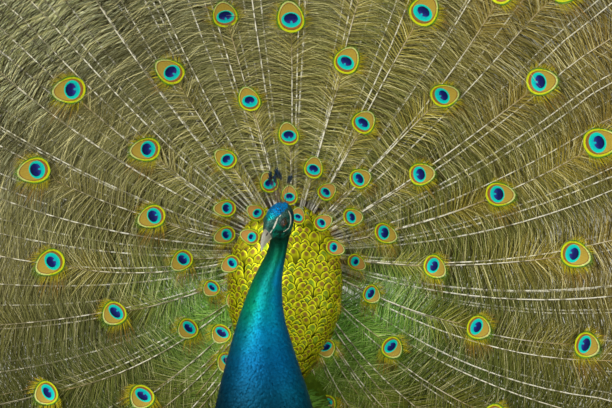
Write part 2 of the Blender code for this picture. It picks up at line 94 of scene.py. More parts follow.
UPPER_BILL = (  # forward, ridge, cutting edge, half width
    (0.0200, 0.0070, -0.0086, 0.0072),
    (0.0290, 0.0042, -0.0093, 0.0056),
    (0.0370, -0.0010, -0.0111, 0.0041),
    (0.0432, -0.0076, -0.0143, 0.0026),
    (0.0470, -0.0138, -0.0177, 0.0014),
    (0.0481, -0.0174, -0.0196, 0.0006),
)
LOWER_BILL = (  # forward, cutting edge, keel, half width
    (0.0190, -0.0088, -0.0152, 0.0064),
    (0.0285, -0.0095, -0.0152, 0.0048),
    (0.0360, -0.0113, -0.0156, 0.0032),
    (0.0411, -0.0139, -0.0167, 0.0018),
)
CREST_ROOT = np.array((-0.0230, 0.0, 0.0150))
CREST_LEAN, CREST_SPREAD, CREST_LENGTH = radians(18), radians(34), 0.060
HIP = np.array((0.058, -0.020, 0.350))
HOCK = np.array((0.074, 0.042, 0.168))
FOOT_AT = np.array((0.084, -0.012, 0.016))
THIGH_RINGS = ((0.00, 0.058), (0.30, 0.056), (0.60, 0.038), (0.85, 0.021), (1.00, 0.0125))
THIGH_DEEP = 1.12  # how much deeper than wide the thigh is
SHANK_RINGS = ((-0.06, 0.0088), (0.0, 0.0098), (0.08, 0.0100), (0.25, 0.0072), (0.60, 0.0062), (0.88, 0.0074),
               (1.0, 0.0086))
TOES = (  # name, length, bearing outwards from straight ahead, root radius
    ("middle", 0.078, radians(6), 0.0072),
    ("outer", 0.062, radians(46), 0.0064),
    ("inner", 0.058, radians(-34), 0.0066),
    ("hind", 0.030, radians(187), 0.0050),
)
TOE_SHARES = (0.0, 0.22, 0.52, 0.80, 1.0)
TOE_WIDTHS = (1.05, 1.0, 0.94, 0.90, 0.66)
CLAW_LENGTH, SPUR_LENGTH = 0.015, 0.022
WING_STATIONS = (3.2, 7.0)
WING_ANGLES = (radians(50), radians(112))
WING_THICK = 0.0165
WRIST = np.array((0.137, 0.018, 0.335))
WING_TIP = np.array((0.172, 0.215, 0.145))
QUILL_HALF, QUILL_ROLL = 0.052, radians(38)
SHIELD_SLICES = (  # height, half width, front, back
    (0.478, 0.012, 0.022, 0.060),
    (0.492, 0.026, 0.008, 0.110),
    (0.520, 0.048, 0.002, 0.124),
    (0.560, 0.071, 0.002, 0.124),
    (0.605, 0.086, 0.012, 0.124),
    (0.650, 0.088, 0.030, 0.124),
    (0.695, 0.082, 0.052, 0.122),
    (0.732, 0.062, 0.076, 0.118),
    (0.757, 0.034, 0.094, 0.114),
    (0.766, 0.012, 0.102, 0.111),
)
SHIELD_FOOT, SHIELD_TOP = SHIELD_SLICES[0][0], SHIELD_SLICES[-1][0]
TRAIN_AT = np.array((0.0, 0.146, 0.688))
TRAIN_SPAN = radians(160)
INNER_SPAN = radians(168)  # how far round the shortest feathers go
# Reach of each row of eyes from the fan's heart
INNER_ROWS = (0.083, 0.118, 0.161, 0.246, 0.352, 0.456, 0.525)
OUTER_ROWS = ((0.62, 14), (0.70, 14), (0.78, 16), (0.87, 18), (0.96, 18), (1.09, 38))  # reach, feathers
RIM_ROW, LOW_ROW = 12, 13  # the rim's row and the low feathers beside the tail: both end in forks
TRAIN_TOP, TRAIN_LOW = 1.13, 0.82
DISH_SLOPE, DISH_HEART, DISH_EASE = 0.31, 0.08, 0.04
# The fan's airy corner, up and to the bird's right, by height - AIRY_UP - AIRY_SLOPE (x + AIRY_ASIDE):
# nothing below the first edge, full above the second.
AIRY_UP, AIRY_ASIDE, AIRY_SLOPE, AIRY_EDGES = 0.80, 0.05, 0.8, (0.10, 0.50)
UNDER_MARK, REAR_MARK = 0.7, 1.0  # third number of a barb's tint on the layers behind; 0 in front
FAR_OFF = 9.0  # an eye's reach where there is no eye
FACE_SIDE = 0.004  # how far out from the head's middle plane the face's markings begin
EYE_LIFT = 0.0048  # how far a train eye stands before its shaft
# Width of a train eye's rings over their length, and how it falls to the tip
EYE_SHAPE, EYE_TAPER = 0.75, 0.20
SCALE_FULL = 0.66  # share of a mantle scale's length where its round end starts
SWEEP = 0.12  # how much of its bearing a low feather loses on the way out
TAIL_AT = np.array((0.0, 0.186, 0.625))
TAIL_SPAN, TAIL_OUTER, TAIL_LEAN = radians(78), 0.43, 0.20


# ---- numbers ----
def unit(v):
    """Vectors scaled to length one."""
    return v / np.maximum(np.linalg.norm(v, axis=-1, keepdims=True), 1e-9)


def smooth(low, high, x):
    """0 below low, 1 above high, with the cubic 3s^2 - 2s^3 between."""
    s = np.clip((np.asarray(x, float) - low) / (high - low), 0.0, 1.0)
    return s * s * (3 - 2 * s)


def spline(rows, t):
    """The cubic through rows (Catmull-Rom: half the difference of the two neighbours as slope) at places
    t."""
    rows = np.asarray(rows, float)
    t = np.clip(np.asarray(t, float), 0.0, len(rows) - 1.0)
    k = np.minimum(np.floor(t).astype(int), len(rows) - 2)
    s = (t - k)[..., None]
    before, here = rows[np.maximum(k - 1, 0)], rows[k]
    ahead, after = rows[k + 1], rows[np.minimum(k + 2, len(rows) - 1)]
    bend = 2 * before - 5 * here + 4 * ahead - after
    jerk = 3 * here - before - 3 * ahead + after
    return 0.5 * (2 * here + (ahead - before) * s + bend * s**2 + jerk * s**3)


def paired(*values):
    """Numbers and arrays as floats of one shape."""
    return np.broadcast_arrays(*(np.asarray(value, float) for value in values))


def even_turns(count):
    """That many equal turns round the circle, from 0."""
    return np.arange(count) * tau / count


def crossed(first, second):
    """Every first with every second, as two grids: rows keep the first, columns the second."""
    return np.meshgrid(first, second, indexing="ij")


def stacked(*values):
    """Values of any matching shapes side by side along a new last axis."""
    return np.stack(np.broadcast_arrays(*values), -1)


def seeded(name):
    """A random source of its own for each piece, the same each run."""
    return np.random.default_rng(sum(ord(letter) * (k + 1) for k, letter in enumerate(name)))


def linear(red, green, blue):
    """A screen colour from 0 to 255 as linear light."""
    share = np.array((red, green, blue)) / 255.0
    return tuple(float(v) for v in np.where(share <= 0.04045, share / 12.92,
                                            ((share + 0.055) / 1.055) ** 2.4))


def head_axes():
    """Forward, left and up of the head: turned to the bird's right, then nodded."""
    forward = np.array((-sin(HEAD_TURN) * cos(HEAD_NOD), -cos(HEAD_TURN) * cos(HEAD_NOD), -sin(HEAD_NOD)))
    left = np.array((cos(HEAD_TURN), -sin(HEAD_TURN), 0.0))
    return np.array((forward, left, np.cross(forward, left)))


HEAD_AXES = head_axes()


def from_head(local):
    """Points given as forward, left, up in the head's frame, in the bird's frame."""
    return HEAD_AT + np.asarray(local, float) @ HEAD_AXES


def to_head(points):
    """The reverse of from_head."""
    return (points - HEAD_AT) @ HEAD_AXES.T


def place_of_bird():
    """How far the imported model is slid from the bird's own frame, from the box of the flat shield."""
    low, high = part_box("shield")
    front = min(row[2] for row in SHIELD_SLICES)
    return np.array(((low.x + high.x) / 2, low.y - front, low.z - SHIELD_FOOT))


PLACE = place_of_bird()


# ---- surfaces ----
def ring_rows():
    """Each station as top point, underside point, half width and sideways direction."""
    rows = []
    for k, (top, low, width, lean) in enumerate(BODY_STATIONS):
        yaw = radians(NECK_TURNS.get(k, 0.0))
        rows.append((lean, *top, lean, *low, width, cos(yaw), -sin(yaw), 0.0))
    for k, (top, low, width, offset) in enumerate(HEAD_STATIONS):
        yaw = radians(NECK_TURNS.get(k + len(BODY_STATIONS), 30.0))
        upper, under = from_head((top[0], offset, top[1])), from_head((low[0], offset, low[1]))
        rows.append((*upper, *under, width, cos(yaw), -sin(yaw), 0.0))
    return np.array(rows)


RINGS = ring_rows()


def outline(t, a):
    """The coat's outer surface: middle + along cos a + sideways width sin a (1 - 0.06 cos a), a = 0 on the
    back."""
    row = spline(RINGS, t)
    a = np.asarray(a, float)[..., None]
    middle = (row[..., 0:3] + row[..., 3:6]) / 2
    along = (row[..., 0:3] - row[..., 3:6]) / 2
    return middle + along * np.cos(a) + row[..., 7:10] * row[..., 6:7] * np.sin(a) * (1 - 0.06 * np.cos(a))


def surface_frame(surface, t, a, step=0.01):
    """A surface's point, unit outward direction, and its slopes along t and round a, by central
    differences."""
    along = (surface(t + step, a) - surface(t - step, a)) / (2 * step)
    round_it = (surface(t, a + step) - surface(t, a - step)) / (2 * step)
    return surface(t, a), unit(np.cross(along, round_it)), along, round_it


def wing_bulge(t, a):
    """How far the folded wing lifts the surface: a dome (1 - run^4)(1 - share^4) over its patch of the
    flank."""
    a = np.abs((np.asarray(a, float) + pi) % tau - pi)
    middle, half = sum(WING_ANGLES) / 2, (WING_ANGLES[1] - WING_ANGLES[0]) / 2
    run = (t - sum(WING_STATIONS) / 2) / ((WING_STATIONS[1] - WING_STATIONS[0]) / 2)
    run = np.clip(run, -1, 1)
    share = np.clip((a - middle) / (half * (1 - 0.45 * run**4)), -1, 1)
    return WING_THICK * (1 - run**4) * (1 - share**4)


def coat_depth(t):
    """The coat's thickness from tail root to bill."""
    return np.interp(t, (0, 5, 8, 10, 12, 14, BILL_BASE),
                     (0.009, 0.009, 0.007, 0.0042, 0.0022, 0.0010, 0.0005))


def skin(t, a):
    """The skin: the coat's outline with the wing's dome added and the coat's depth taken off."""
    t, a = paired(t, a)
    point, out, _, _ = surface_frame(outline, t, a)
    return point + out * (wing_bulge(t, a) - coat_depth(t))[..., None]


def thigh(side):
    """A thigh's surface: rings square to the line from hip to hock, deeper fore and aft than wide."""
    ahead = unit(HOCK - HIP)
    across = unit(np.cross(ahead, (1.0, 0.0, 0.0)))
    level = np.cross(across, ahead)
    shares, widths = np.array(THIGH_RINGS).T

    def surface(t, a):
        t, a = paired(t, a)
        radius = np.interp(t, shares, widths)[..., None] - 0.004
        point = HIP + (HOCK - HIP) * t[..., None]
        point = point + across * (radius * THIGH_DEEP * np.cos(a)[..., None])
        point = point + level * (radius * np.sin(a * side)[..., None])
        return point * np.array((side, 1.0, 1.0))

    return surface


def shield_slice(height):
    """The mantle's half width, front and back at a height."""
    heights, *columns = np.array(SHIELD_SLICES).T
    return [np.interp(height, heights, column) for column in columns]


def shield(t, a):
    """The golden mantle: ovals at height t, a = 0 in front, growing to the bird's right, sizes from the
    slices."""
    t, a = paired(t, a)
    half, front, back = shield_slice(t)
    return np.stack((-half * np.sin(a), (front + back) / 2 - (back - front) / 2 * np.cos(a), t), axis=-1)


def dish(radius, bearing, depth=0.0):
    """The train's dish at a distance and bearing (from straight up, to the left) from its heart, depth behind
    it."""
    radius, bearing, depth = paired(radius, bearing, depth)
    swept = bearing * (1 - SWEEP * np.clip((radius - 0.10) / 0.45, 0, 1))
    forward = DISH_SLOPE * (np.sqrt(radius**2 + DISH_HEART**2) - DISH_HEART) - DISH_EASE * radius**2
    return TRAIN_AT + np.stack((radius * np.sin(swept), depth - forward, radius * np.cos(swept)), axis=-1)


def rim_radius(bearing):
    """The train's reach: longest overhead, shorter towards the ground."""
    low = np.maximum(0, (np.abs(bearing) / TRAIN_SPAN - 0.55) / 0.45)
    return TRAIN_TOP + (TRAIN_LOW - TRAIN_TOP) * low**1.5


# ---- meshes ----
def grid_faces(rows, columns, wrap=False):
    """Quads of a grid of points, row by row; wrap joins the last column to the first."""
    r, c = crossed(np.arange(rows - 1), np.arange(columns if wrap else columns - 1))
    after = (c + 1) % columns
    return stacked(r * columns + c, (r + 1) * columns + c, (r + 1) * columns + after,
                   r * columns + after).reshape(-1, 4)


class Pattern:
    """The faces that every copy of a small shape shares: corner numbers and corners a face."""

    def __init__(self, *groups):
        faces = [np.asarray(group) for group in groups if len(group)]
        self.corners = np.concatenate([group.ravel() for group in faces])
        self.sizes = np.concatenate([np.full(len(group), group.shape[1]) for group in faces])


class Pile:
    """Gathers copies of small shapes as whole arrays and makes one mesh of them."""

    def __init__(self):
        self.points, self.bake, self.vane, self.tint = [], [], [], []
        self.corners, self.sizes, self.seam, self.count = [], [], [], 0

    def add(self, points, pattern, bake, vane, tint, turns=(0.0, 0.0), seam=0.0):
        """points (copies, corners, 3), with an unwrap place, a vane place and a tint for each of them. seam
        gives the turns to add at each corner of the pattern, where a map closes on itself, and turns what one
        is in each map."""
        copies, corners = points.shape[:2]
        extra = np.broadcast_to(seam, (copies, len(pattern.corners))).ravel()
        self.seam.append(extra[:, None] * np.asarray(turns, float))
        starts = self.count + np.arange(copies) * corners
        self.corners.append((pattern.corners[None, :] + starts[:, None]).ravel())
        self.sizes.append(np.tile(pattern.sizes, copies))
        for store, values, width in ((self.points, points, 3), (self.bake, bake, 2), (self.vane, vane, 2),
                                     (self.tint, tint, 4)):
            store.append(np.broadcast_to(values, (copies, corners, width)).reshape(-1, width))
        self.count += copies * corners

    def mesh(self, name):
        """The mesh, with its OFBake and Vane maps and its Tint."""
        corners, sizes = np.concatenate(self.corners), np.concatenate(self.sizes)
        mesh = bpy.data.meshes.new(name)
        mesh.vertices.add(self.count)
        mesh.vertices.foreach_set("co", (np.concatenate(self.points) + PLACE).astype(np.float32).ravel())
        mesh.loops.add(len(corners))
        mesh.loops.foreach_set("vertex_index", corners.astype(np.int32))
        mesh.polygons.add(len(sizes))
        mesh.polygons.foreach_set("loop_start", (np.cumsum(sizes) - sizes).astype(np.int32))
        mesh.polygons.foreach_set("use_smooth", np.ones(len(sizes), bool))
        mesh.update(calc_edges=True)
        seam = np.concatenate(self.seam)
        for title, store, extra in (("OFBake", self.bake, seam[:, 0]), ("Vane", self.vane, seam[:, 1])):
            layer = mesh.uv_layers.new(name=title)
            place = np.concatenate(store)[corners]
            place[:, 0] += extra
            layer.uv.foreach_set("vector", place.astype(np.float32).ravel())
        tint = mesh.attributes.new("Tint", "FLOAT_COLOR", "POINT")
        tint.data.foreach_set("color", np.concatenate(self.tint).astype(np.float32).ravel())
        return mesh


def show(mesh, material, replaced=()):
    """Puts a mesh in the scene as a piece that rides on the bird and stands for the named solids."""
    piece = bpy.data.objects.new(mesh.name, mesh)
    bpy.context.scene.collection.objects.link(piece)
    mesh.materials.append(material)
    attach(piece, "root")
    if replaced:
        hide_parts(*replaced)
    return piece


def mixed(copies, rng, *rest):
    """A tint for each copy: one random number, then the given columns."""
    columns = [rng.random(copies)] + [np.broadcast_to(np.asarray(v, float), (copies,)) for v in rest]
    columns += [np.zeros(copies)] * (4 - len(columns))
    return np.stack(columns, -1)[:, None, :]


class Vane:
    """A small feather's blade: rows along it with a half width each, columns across, and one point at the
    tip."""

    def __init__(self, rows, columns, outline_of):
        v = 1 - (1 - np.linspace(0, 1, rows + 1)[:-1]) ** 1.6
        u = np.linspace(-1, 1, columns)
        self.v = np.append(np.repeat(v, columns), 1.0)
        self.u = np.append(np.tile(u, rows), 0.0)
        self.width = outline_of(self.v)
        last = (rows - 1) * columns + np.arange(columns - 1)
        tip = stacked(last, np.full(columns - 1, rows * columns), last + 1)
        self.pattern = Pattern(grid_faces(rows, columns), tip)


def round_end(v, start, length):
    """1 up to start, then a quarter ellipse down to nothing: the root of 1 - ((v - start) / length)^2."""
    return np.sqrt(np.clip(1 - (np.maximum(0, v - start) / length) ** 2, 0, 1))


def rounded(v):
    """A contour feather's outline: narrow at the root, full, then a round end."""
    return (0.45 + 0.55 * smooth(0, 0.4, v)) * round_end(v, 0.55, 0.46)


def scalloped(v):
    """A mantle scale's outline: full width, then half a circle."""
    return (0.60 + 0.40 * smooth(0, 0.35, v)) * round_end(v, SCALE_FULL, 1.005 - SCALE_FULL)


def pointed(v):
    """A lancet outline: widest at a third, then tapering to the tip."""
    return (0.5 + 0.5 * smooth(0, 0.3, v)) * np.clip(1 - np.maximum(0, v - 0.3) / 0.72, 0, 1) ** 0.7


def strap(v):
    """A flight feather's outline: nearly even, with a blunt round end."""
    return (0.55 + 0.45 * smooth(0, 0.3, v)) * round_end(v, 0.82, 0.19)


def drape(pile, vane, surface, t, a, lie, length, half, rise, camber, tint, unwrap, patch=0.003, curl=2.0):
    """Lays feathers on a surface: a step along the lie and across it is turned into steps of t and a through
    the surface's slopes, and the blade stands off by rise (1 - (1 - v)^curl) - camber u^2."""
    _, out, along, round_it = surface_frame(surface, t, a)
    lie = unit(lie - out * np.sum(lie * out, -1, keepdims=True))
    across = np.cross(out, lie)
    tt, ta, aa = (np.sum(p * q, -1) for p, q in ((along, along), (along, round_it), (round_it, round_it)))
    spread = tt * aa - ta**2 + 1e-12
    moves = (lie[:, None, :] * (np.asarray(length)[:, None] * vane.v)[..., None]
             + across[:, None, :] * (np.asarray(half)[:, None] * vane.width * vane.u)[..., None])
    by_t = np.sum(moves * along[:, None, :], -1)
    by_a = np.sum(moves * round_it[:, None, :], -1)
    dt = (by_t * aa[:, None] - by_a * ta[:, None]) / spread[:, None]
    da = (by_a * tt[:, None] - by_t * ta[:, None]) / spread[:, None]
    t_all, a_all = t[:, None] + dt, a[:, None] + da
    point, normal, _, _ = surface_frame(surface, t_all, a_all)
    stand = np.asarray(rise)[:, None] * (0.12 + 0.88 * (1 - (1 - vane.v) ** curl))
    stand = stand - np.asarray(camber)[:, None] * vane.u**2 * vane.width
    points = point + normal * stand[..., None]
    bake = unwrap(t, a)[:, None, :] + stacked(vane.u, vane.v - 0.5) * (patch / 2)
    pile.add(points, vane.pattern, bake, stacked(vane.u, vane.v), tint)


def staggered(surface, ends, spacing, rng, around=(0.0, tau)):
    """Roots in staggered rows over a surface: rows a spacing apart along it, and as many in each as fit round
    it."""
    fine = np.linspace(*ends, 400)
    line = surface(fine, np.full(400, (around[0] + around[1]) / 2 + 0.3))
    steps = np.linalg.norm(np.diff(line, axis=0), axis=1)
    rows_at = np.concatenate(([0], np.cumsum(steps / spacing((fine[1:] + fine[:-1]) / 2))))
    marks = np.interp(np.arange(0, rows_at[-1]), rows_at, fine)
    t_all, a_all = [], []
    for k, t in enumerate(marks):
        ring = surface(np.full(65, t), np.linspace(*around, 65))
        length = np.linalg.norm(np.diff(ring, axis=0), axis=1).sum()
        count = max(3, int(round(length / spacing(t))))
        share = (np.arange(count) + 0.5 * (k % 2) + rng.uniform(-0.22, 0.22, count)) / count
        a_all.append(around[0] + (around[1] - around[0]) * share)
        t_all.append(t + rng.uniform(-0.3, 0.3, count) * spacing(t) * (ends[1] - ends[0]) / steps.sum())
    return np.concatenate(t_all), np.concatenate(a_all)


def tube_grid(path, widths, sides, flat=1.0, floor=None):
    """Rings of a tube round a path: across and up directions square to it; floor keeps every point above a
    level."""
    path, widths = np.asarray(path, float), np.asarray(widths, float)
    ahead = unit(np.gradient(path, axis=0))
    across = unit(np.cross(ahead, np.array((0.013, 0.021, 1.0))))
    above = np.cross(across, ahead)
    a = even_turns(sides)
    rings = (path[:, None, :] + across[:, None, :] * (widths[:, None] * np.cos(a))[..., None]
             + above[:, None, :] * (widths[:, None] * flat * np.sin(a))[..., None])
    if floor is not None:
        rings[..., 2] = np.maximum(rings[..., 2], floor)
    return rings


def closed_tube(rows, columns, middle):
    """Faces of a tube of rings whose last two points close its ends, and its maps' turns at each corner;
    middle is what an end's point has of a turn beside each of its faces."""
    ring = np.arange(columns)
    after, closing, none = (ring + 1) % columns, (ring == columns - 1) * 1.0, ring * 0.0
    first = stacked(rows * columns, ring, after)
    last = stacked(rows * columns + 1, (rows - 1) * columns + after, (rows - 1) * columns + ring)
    around = np.tile(stacked(none, none, closing, closing), (rows - 1, 1))
    ends = stacked(middle, none, closing), stacked(middle, closing, none)
    return Pattern(grid_faces(rows, columns, wrap=True), first,
                   last), np.concatenate([v.ravel() for v in (around, *ends)])


def add_loft(pile, rings, scale, shift, vane=None, tint=(0.5, 0, 0, 0)):
    """One closed skin over rings of points, with a point closing each end; its unwrap is the vane place times
    scale plus shift."""
    rows, columns = rings.shape[:2]
    ends = np.stack((rings[0].mean(0), rings[-1].mean(0)))
    points = np.concatenate((rings.reshape(-1, 3), ends))
    ring = np.arange(columns)
    pattern, seam = closed_tube(rows, columns, (ring + 0.5) / columns)
    if vane is None:
        u, v = np.meshgrid(ring / columns, np.linspace(0, 1, rows))
        vane = stacked(u, v)
    flat = np.concatenate((vane.reshape(-1, 2), vane[0, :1], vane[-1, :1]))
    inset = 0.5 / rows * (vane[-1, 0, 1] - vane[0, 0, 1])
    squeezed = np.concatenate((vane * (1, 1 - 1 / rows) + (0, inset), vane[:1] * 1,
                               vane[-1:] * 1)).reshape(rows + 2, -1, 2)
    squeezed = np.concatenate((squeezed[:-2].reshape(-1, 2), squeezed[-2, :1], squeezed[-1, :1]))
    tint = np.asarray(tint, float)
    if tint.ndim == 3:
        tint = np.concatenate((tint.reshape(-1, 4), tint[0, :1], tint[-1, :1]))[None]
    span = (vane[0, 1, 0] - vane[0, 0, 0]) * columns
    turn = (np.array((span, 0.0)) * scale + shift - (np.array((0.0, 0.0)) * scale + shift))[0]
    pile.add(points[None], pattern, (squeezed * scale + shift)[None], flat[None], tint, (turn, span), seam)


# ---- materials ----
def maths_of(operation):
    """A Term's operator that adds one Math node."""
    return lambda self, *others: self.finish.node("ShaderNodeMath", {"operation": operation}, (self, *others))


class Term:
    """A shader socket; sums and products of it add Math nodes."""

    def __init__(self, finish, socket):
        self.finish = finish
        self.socket = socket

    __add__ = __radd__ = maths_of("ADD")
    __sub__ = maths_of("SUBTRACT")
    __mul__ = __rmul__ = maths_of("MULTIPLY")
    __truediv__ = maths_of("DIVIDE")
    __abs__ = maths_of("ABSOLUTE")
    root = maths_of("SQRT")
    upto = maths_of("MINIMUM")
    atleast = maths_of("MAXIMUM")

    def __rsub__(self, other):
        return maths_of("MULTIPLY_ADD")(self, -1.0, other)

    def __neg__(self):
        return self * -1.0

    def wave(self):
        """A sine, brought to 0..1."""
        return maths_of("SINE")(self) * 0.5 + 0.5

    def past(self, low, high):
        """0 at low, 1 at high, smooth between."""
        settings = {"interpolation_type": "SMOOTHSTEP"}
        return self.finish.node("ShaderNodeMapRange", settings, (self, low, high, 0.0, 1.0))


class Finish:
    """Builds one material round its shader: node() adds any node, the rest are short ways to it."""

    def __init__(self, name, roughness=0.6, **constants):
        self.material = bpy.data.materials.new(name)
        self.material.use_nodes = True
        self.tree = self.material.node_tree
        self.shader = self.tree.nodes["Principled BSDF"]
        self.shader.inputs["Roughness"].default_value = roughness
        for key, value in constants.items():
            self.shader.inputs[key.replace("_", " ").title().replace("Ior", "IOR")].default_value = value

    def node(self, kind, settings=(), inputs=(), output=0):
        """Adds a node: its settings first, a ramp's stops among them, then its sockets' values or links."""
        made = self.tree.nodes.new(kind)
        for key, value in dict(settings).items():
            if key == "stops":
                self.set_stops(made.color_ramp, value)
            else:
                setattr(made, key, value)
        pairs = inputs.items() if isinstance(inputs, dict) else enumerate(inputs)
        for key, value in pairs:
            self.join(value, made.inputs[key])
        return Term(self, made.outputs[output])

    def set_stops(self, ramp, stops):
        """Gives a colour ramp its stops, each a place and a colour."""
        while len(ramp.elements) < len(stops):
            ramp.elements.new(1.0)
        for element, (place, colour) in zip(ramp.elements, stops):
            element.position = place
            element.color = (*colour, 1.0)

    def join(self, value, socket):
        """Links a term to a socket, or sets the socket's own value."""
        if isinstance(value, Term):
            self.tree.links.new(value.socket, socket)
        elif socket.type == "RGBA":
            socket.default_value = (*value, 1.0)
        else:
            socket.default_value = value

    def finished(self, colour, height=None, strength=0.0, distance=0.0):
        """The material, with its colour and, where a height is given, a bump."""
        self.join(colour, self.shader.inputs["Base Color"])
        if height is not None:
            bump = {"Strength": strength, "Distance": distance, "Height": height}
            self.join(self.node("ShaderNodeBump", (), bump), self.shader.inputs["Normal"])
        return self.material

    def mix(self, factor, low, high, blend="MIX"):
        """A colour between low and high."""
        return self.node("ShaderNodeMix", {"data_type": "RGBA", "blend_type": blend},
                         {0: factor, 6: low, 7: high}, 2)

    def scaled(self, colour, factor):
        """A colour made darker or lighter by a value."""
        return self.node("ShaderNodeVectorMath", {"operation": "SCALE"}, {0: colour, 3: factor})

    def ramp(self, value, *stops):
        """A colour picked by a value. Each stop is a place and a colour, or a place and the red, green and
        blue of a screen colour."""
        stops = [(place, *given) if len(given) == 1 else (place, linear(*given)) for place, *given in stops]
        return self.node("ShaderNodeValToRGB", {"stops": stops}, (value,))

    def place(self):
        """The surface point, in metres, as a vector."""
        return self.node("ShaderNodeTexCoord", output=3)

    def parts(self, vector):
        """A vector's three numbers, each a term."""
        made = self.tree.nodes.new("ShaderNodeSeparateXYZ")
        self.join(vector, made.inputs[0])
        return [Term(self, socket) for socket in made.outputs]

    def vane(self):
        """Across and along the feather, from its own map."""
        return self.parts(self.node("ShaderNodeUVMap", {"uv_map": "Vane"}))[:2]

    def tint(self):
        """The three numbers each feather carries."""
        return self.parts(self.node("ShaderNodeAttribute", {"attribute_name": "Tint"}))

    def noise(self, scale, detail=2.0, vector=None, distort=0.0):
        """Soft noise from 0 to 1, so many waves to the metre, over the object or over a given vector."""
        inputs = {"Vector": vector or self.place(), "Scale": scale, "Detail": detail, "Distortion": distort}
        return self.node("ShaderNodeTexNoise", (), inputs)

    def along(self, axis, origin=(0.0, 0.0, 0.0)):
        """Distance of the surface point from origin along an axis."""
        away = self.node("ShaderNodeVectorMath", {"operation": "SUBTRACT"}, (self.place(), tuple(origin)))
        return self.node("ShaderNodeVectorMath", {"operation": "DOT_PRODUCT"}, (away, tuple(axis)), "Value")


# ---- finishes ----
def head_masks(f):
    """Where the surface lies in the head's frame: forward, sideways, up, and 1 on the head against 0 on the
    neck."""
    origin = HEAD_AT + PLACE
    forward, left, up = (f.along(axis, origin) for axis in HEAD_AXES)
    return forward, abs(left), up, up.past(-0.030, -0.021)


def neck_colour(f, colours):
    """Deep blue below, turquoise to the middle, a painted green sheen on the bird's right and dark green
    under the head.
    """
    x, _, z = f.parts(f.place())
    share = (z - 0.44) / 0.36
    half = (0.73 - z).atleast(0.0) * 0.235 + 0.017
    side = (x - (z - 0.69).atleast(0.0) * 0.4) / half
    drift = f.noise(26.0, 3.0)
    side = side + (drift - 0.5) * 0.9
    deep = colours.neck_deep
    middle = f.ramp(share, (0.0, 0, 30, 36), (0.12, 0, 40, 48), (0.24, 0, 68, 94), (0.37, deep),
                    (0.50, colours.neck_blue), (0.60, 0, 138, 146), (0.69, 0, 112, 108), (0.80, 0, 92, 66),
                    (0.86, 0, 48, 32), (0.93, 0, 40, 32))
    # The bird's right side: the neck's iridescent sheen, painted into the colour by place.
    right = f.ramp(share, (0.0, 0, 28, 36), (0.12, 0, 36, 42), (0.25, 0, 62, 88), (0.38, 0, 86, 124),
                   (0.48, 0, 112, 132), (0.60, colours.neck_green), (0.70, 0, 140, 92), (0.80, 0, 84, 62),
                   (0.86, 0, 44, 28), (0.93, 0, 36, 28))
    left = f.ramp(share, (0.0, 0, 34, 44), (0.12, 0, 52, 66), (0.25, 0, 86, 114), (0.38, 0, 98, 150),
                  (0.52, 0, 112, 172), (0.64, 0, 122, 182), (0.73, 0, 116, 160), (0.80, 0, 84, 70),
                  (0.87, 0, 46, 30))
    colour = f.mix(side.past(0.15, 0.85), middle, left)
    return f.mix((-side).past(-0.05, 0.70), colour, right)


def face_colour(f, colours):
    """Turquoise crown, bluer behind and speckled in front, over a dark face."""
    forward, _, up, _ = head_masks(f)
    grain = f.noise(620.0, 2.0)
    crown = f.mix(forward.past(-0.006, 0.014), colours.crown_blue, colours.crown_teal)
    crown = f.mix((grain.past(0.47, 0.57) * forward.past(-0.026, -0.004)) * 0.92, crown, linear(2, 34, 44))
    temple = f.mix(grain.past(0.45, 0.6), linear(34, 86, 82), linear(78, 116, 102))
    cheek = f.mix(f.noise(170.0, 2.0).past(0.42, 0.58), colours.face_dark, linear(8, 112, 92))
    cheek = f.mix((-forward).past(0.012, 0.020), cheek, linear(14, 58, 84))
    face = f.mix(up.past(0.003, 0.009), cheek, temple)
    edge = up + (f.noise(160.0, 2.0) - 0.5) * 0.004
    return f.mix(edge.past(0.0125, 0.0150), face, crown)


def bird_colour(f, colours):
    """One marking scheme for skin and coat: Tint carries a random shade, the zone and the bare white skin."""
    shade, zone, bare = f.tint()
    _, _, _, head = head_masks(f)
    colour = f.mix(head, neck_colour(f, colours), face_colour(f, colours))
    dark = f.mix(f.noise(30.0, 3.0).past(0.35, 0.65), linear(14, 34, 34), linear(22, 58, 46))
    _, _, z = f.parts(f.place())
    dark = f.mix(z.past(0.35, 0.48), dark, linear(86, 112, 30))
    colour = f.mix(zone.past(0.05, 0.30), colour, dark)
    colour = f.mix(zone.past(0.40, 0.60), colour, linear(150, 122, 84))
    colour = f.mix(zone.past(0.75, 0.95), colour, linear(120, 112, 100))
    colour = f.scaled(colour, shade * 0.34 + 0.83)
    return f.mix(bare.past(0.35, 0.65), colour, colours.bare_white)


def skin_finish(colours):
    """Skin under the coat: the same markings, darkened off the bare white skin as painted shade between the
    feathers, with a fine pebbled relief.
    """
    f = Finish("peacock skin", roughness=0.55)
    _, _, bare = f.tint()
    colour = bird_colour(f, colours)
    # Off the bare skin the colour is about halved: painted shade between the feathers.
    return f.finished(f.scaled(colour, bare * 0.45 + 0.48), f.noise(900.0, 2.0), 0.35, 0.0006)


def coat_finish(colours):
    """Small feathers: the bird's markings with a darker quill, combed barbs, painted shade towards the root
    and a glossy surface.
    """
    f = Finish("peacock plumage", roughness=0.42, metallic=0.55, specular_ior_level=0.08)
    across, along = f.vane()
    comb = ((along * 34.0 - abs(across) * 9.0)).wave()
    colour = bird_colour(f, colours)
    edge = abs(across).past(0.55, 1.0) * 0.22
    quill = 1.0 - abs(across).past(0.03, 0.16)
    # Darker towards each feather's root, under the feathers that lie over it: painted shade.
    light = 0.94 + comb * 0.08 + edge - quill * 0.10 - (1.0 - along.past(0.1, 0.6)) * 0.20
    return f.finished(f.scaled(colour, light), comb, 0.12, 0.0003)


